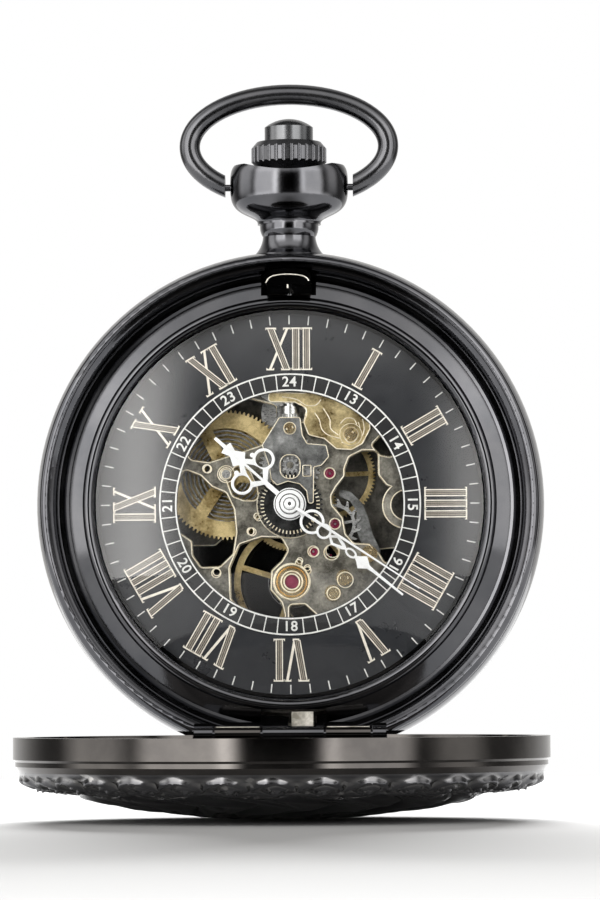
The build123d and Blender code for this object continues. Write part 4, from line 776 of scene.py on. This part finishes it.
def scroll_height(s, t):
    """Height of the border's shell scrolls at a distance s from the rim and an angle t."""
    across = ((t * MOTIFS / (2 * math.pi)) % 1) - 0.5
    x, y = across * MOTIF_WIDTH, s - 0.55
    shell = np.hypot(x / 1.88, (y - 1.95) / 1.5)
    arch = np.exp(-((shell - 1) * 1.6 / 0.26) ** 2) * (0.55 + 0.45 / (1 + np.exp((y - 2.1) / 0.2)))
    rho, phi = np.hypot(x - 0.3, y - 2.15), np.arctan2(y - 2.15, x - 0.3)
    curl = np.sin(np.pi * ((rho / 0.62 - phi / (2 * math.pi)) % 1)) ** 2 / (1 + np.exp((rho - 1.15) / 0.07))
    foot = bump_at(y - 3.75 - 0.35 * np.cos(across * 2 * math.pi), 0.2)
    body = fade_out(shell - 0.95, 0.08)
    band = fade_out(-(s - SCROLL_START), 0.06) / (1 + np.exp((s - SCROLL_END) / 0.1))
    return band * (0.46 * arch + 0.1 * body + 0.34 * curl * body + 0.3 * bump_at(rho, 0.26)
                   + 0.3 * foot * (1 - body))


def leaf_height(s, t, radius):
    """Height of the swirling leaves inside the border, with a boss at the centre."""
    leafy = fade_out(-(s - LEAF_START), 0.08)
    swirl = t * 7 + 2.6 * np.sin(radius * 0.33) + radius * 0.12
    petal = np.abs(np.sin(swirl)) ** 0.7
    vein = bump_at(np.sin(swirl + 0.5 * math.pi), 0.12)
    lobes = 0.5 + 0.5 * np.sin(3 * swirl + radius * 1.5)
    leaf = leafy * np.clip(radius / 5.0, 0, 1) * (0.46 * petal + 0.12 * lobes * petal - 0.12 * vein)
    return leaf + leafy * 0.2 * bump_at(radius, 2.2)


along = [0.0]
for (r0, z0), (r1, z1) in zip(LID_PROFILE, LID_PROFILE[1:]):
    along.append(along[-1] + math.hypot(r1 - r0, z1 - z0))
samples = np.concatenate([np.linspace(0, 6.6, 74), np.linspace(6.6, along[-1], 70)[1:]])
profile_r = np.interp(samples, along, [p[0] for p in LID_PROFILE])
profile_z = np.interp(samples, along, [p[1] for p in LID_PROFILE])
slope_r, slope_z = np.gradient(profile_r, samples), np.gradient(profile_z, samples)
length = np.hypot(slope_r, slope_z)
normal_r, normal_z = -slope_z / length, slope_r / length
outward = np.where(normal_z > 0, -1, 1)
normal_r, normal_z = normal_r * outward, normal_z * outward
count = MOTIFS * PER_MOTIF
S, T = np.meshgrid(samples, np.linspace(0, 2 * math.pi, count, endpoint=False), indexing="ij")
base_r = np.interp(S, samples, profile_r)
rope = 0.12 * bump_at(S - ROPE_AT, 0.16) * (0.6 + 0.4 * np.cos(T * 170))
H = scroll_height(S, T) + leaf_height(S, T, base_r) + rope
H *= np.clip(S / 0.3, 0, 1)
relief_r = np.minimum(base_r + H * np.interp(S, samples, normal_r), LID_EDGE)
relief_z = np.interp(S, samples, profile_z) + H * np.interp(S, samples, normal_z)
verts = np.stack([relief_r * np.cos(T), LID_Y + relief_r * np.sin(T), LID_Z + relief_z], -1).reshape(-1, 3) * MM
rows = len(samples)
faces = [[i * count + j, i * count + (j + 1) % count, (i + 1) * count + (j + 1) % count, (i + 1) * count + j]
         for i in range(rows - 1) for j in range(count)]
faces.append([(rows - 1) * count + j for j in reversed(range(count))])
piece("lid_relief", verts, faces, "lid", ORNAMENT.m, 60)

# ---------------------------------------------------------------- floor, light and camera
lowest = min(CAD_BOX[0].z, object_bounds()[0].z)
floor_mesh = bpy.data.meshes.new("studio_floor")
FLOOR_RADIUS, FLOOR_SIDES, FLOOR_GAP = 0.2, 128, 0.0002
floor_angles = [2 * math.pi * i / FLOOR_SIDES for i in range(FLOOR_SIDES)]
floor_mesh.from_pydata([(FLOOR_RADIUS * math.cos(a), FLOOR_RADIUS * math.sin(a), 0) for a in floor_angles], [],
                       [list(range(FLOOR_SIDES))])
floor = bpy.data.objects.new("studio_floor", floor_mesh)
floor.location = (0, 0, lowest - FLOOR_GAP)
scene.collection.objects.link(floor)
FLOOR = Mat("studio_floor_white", (0.32, 0.32, 0.32), 0.0, 0.8)
FLOOR.set(FLOOR.b, "Specular IOR Level", 0.0)
floor_mesh.materials.append(FLOOR.m)

world = bpy.data.worlds.new("studio")
scene.world = world
world.use_nodes = True
wt = world.node_tree
wt.nodes.clear()


def wmath(operation, a, b=0.0):
    node = wt.nodes.new("ShaderNodeMath")
    node.operation = operation
    for index, value in enumerate((a, b)):
        if isinstance(value, (int, float)):
            node.inputs[index].default_value = value
        else:
            wt.links.new(value, node.inputs[index])
    return node.outputs["Value"]


def ease(value, start, end):
    """A smooth 0 to 1 step of a value between two limits, which may run downwards."""
    node = wt.nodes.new("ShaderNodeMapRange")
    node.interpolation_type = "SMOOTHSTEP"
    low, high = min(start, end), max(start, end)
    for key, number in (("From Min", low), ("From Max", high), ("To Min", float(start > end)),
                        ("To Max", float(end > start))):
        node.inputs[key].default_value = number
    wt.links.new(value, node.inputs["Value"])
    return node.outputs["Result"]


sky = wt.nodes.new("ShaderNodeTexCoord")
split = wt.nodes.new("ShaderNodeSeparateXYZ")
wt.links.new(sky.outputs["Generated"], split.inputs[0])
azimuth = wmath("MULTIPLY", wmath("ARCTAN2", split.outputs["X"],
                                  wmath("MULTIPLY", split.outputs["Y"], -1.0)), 180 / math.pi)
height = wmath("MULTIPLY", wmath("ARCSINE", split.outputs["Z"]), 180 / math.pi)
turn = wmath("ABSOLUTE", azimuth)


def panel(side, start, end, soft, low, high, soft_high, strength):
    """A feather-edged soft box on one side, by its angles from straight in front of the dial."""
    angle = wmath("MULTIPLY", azimuth, float(side)) if side else turn
    across = wmath("MULTIPLY", ease(angle, start - soft, start + soft), ease(angle, end + soft, end - soft))
    up = wmath("MULTIPLY", ease(height, low - soft_high, low + soft_high),
               ease(height, high + soft_high, high - soft_high))
    return wmath("MULTIPLY", wmath("MULTIPLY", across, up), strength)


light = wmath("ADD", wmath("MULTIPLY", ease(turn, 6.0, 24.0), 0.16),
              wmath("MULTIPLY", ease(turn, 112.0, 150.0), 0.6))
# side (-1 left, 1 right, 0 both), start, end and softness across, low, high and softness up, strength
PANELS = ((-1, 18, 60, 6, -24, 34, 14, 3.4), (1, 20, 58, 6, -18, 34, 12, 2.8),
          (-1, 68, 100, 9, -8, 60, 16, 2.0), (1, 72, 96, 8, -4, 50, 16, 1.1),
          (0, -60, 60, 15, 22, 60, 9, 1.6), (0, 24, 80, 10, -50, -12, 6, 1.8),
          (-1, 19, 24, 5, -16, 24, 12, 5.0), (1, 21, 25, 5, -12, 22, 12, 3.6))
for row in PANELS:
    light = wmath("ADD", light, panel(*row))
out = wt.nodes.new("ShaderNodeOutputWorld")
mix = wt.nodes.new("ShaderNodeMixShader")
path = wt.nodes.new("ShaderNodeLightPath")
white = wt.nodes.new("ShaderNodeBackground")
room = wt.nodes.new("ShaderNodeBackground")
white.inputs["Color"].default_value = (1, 1, 1, 1)
room.inputs["Color"].default_value = (1.0, 0.985, 0.965, 1)
wt.links.new(light, room.inputs["Strength"])
wt.links.new(path.outputs["Is Camera Ray"], mix.inputs["Fac"])
wt.links.new(room.outputs[0], mix.inputs[1])
wt.links.new(white.outputs[0], mix.inputs[2])
wt.links.new(mix.outputs[0], out.inputs["Surface"])


def softbox(name, place, target, width, height, power):
    data = bpy.data.lights.new(name, "AREA")
    data.shape = "RECTANGLE"
    data.size, data.size_y = width, height
    data.energy = power
    lamp = bpy.data.objects.new(name, data)
    lamp.location = place
    lamp.rotation_mode = "QUATERNION"
    lamp.rotation_quaternion = (Vector(target) - Vector(place)).to_track_quat("-Z", "Y")
    scene.collection.objects.link(lamp)
    return lamp


softbox("back_box", (-0.02, 1.5, 0.48), (0, 0, -0.02), 0.85, 0.26, 270.0).visible_glossy = False

CAMERA_PLACE, CAMERA_AIM, CAMERA_ROLL = (0.0150, -0.4443, -0.0183), (0.00089, -0.005, 0.00512), -0.29
camera_data = bpy.data.cameras.new("camera")
camera_data.sensor_width = 36
camera_data.lens = 189.45
camera_data.clip_start = 0.01
camera_data.clip_end = 20
camera = bpy.data.objects.new("camera", camera_data)
camera.location = CAMERA_PLACE
aim = Vector(CAMERA_AIM) - camera.location
camera.rotation_mode = "QUATERNION"
camera.rotation_quaternion = aim.to_track_quat("-Z", "Y") @ Quaternion((0, 0, 1), math.radians(CAMERA_ROLL))
scene.collection.objects.link(camera)
scene.camera = camera
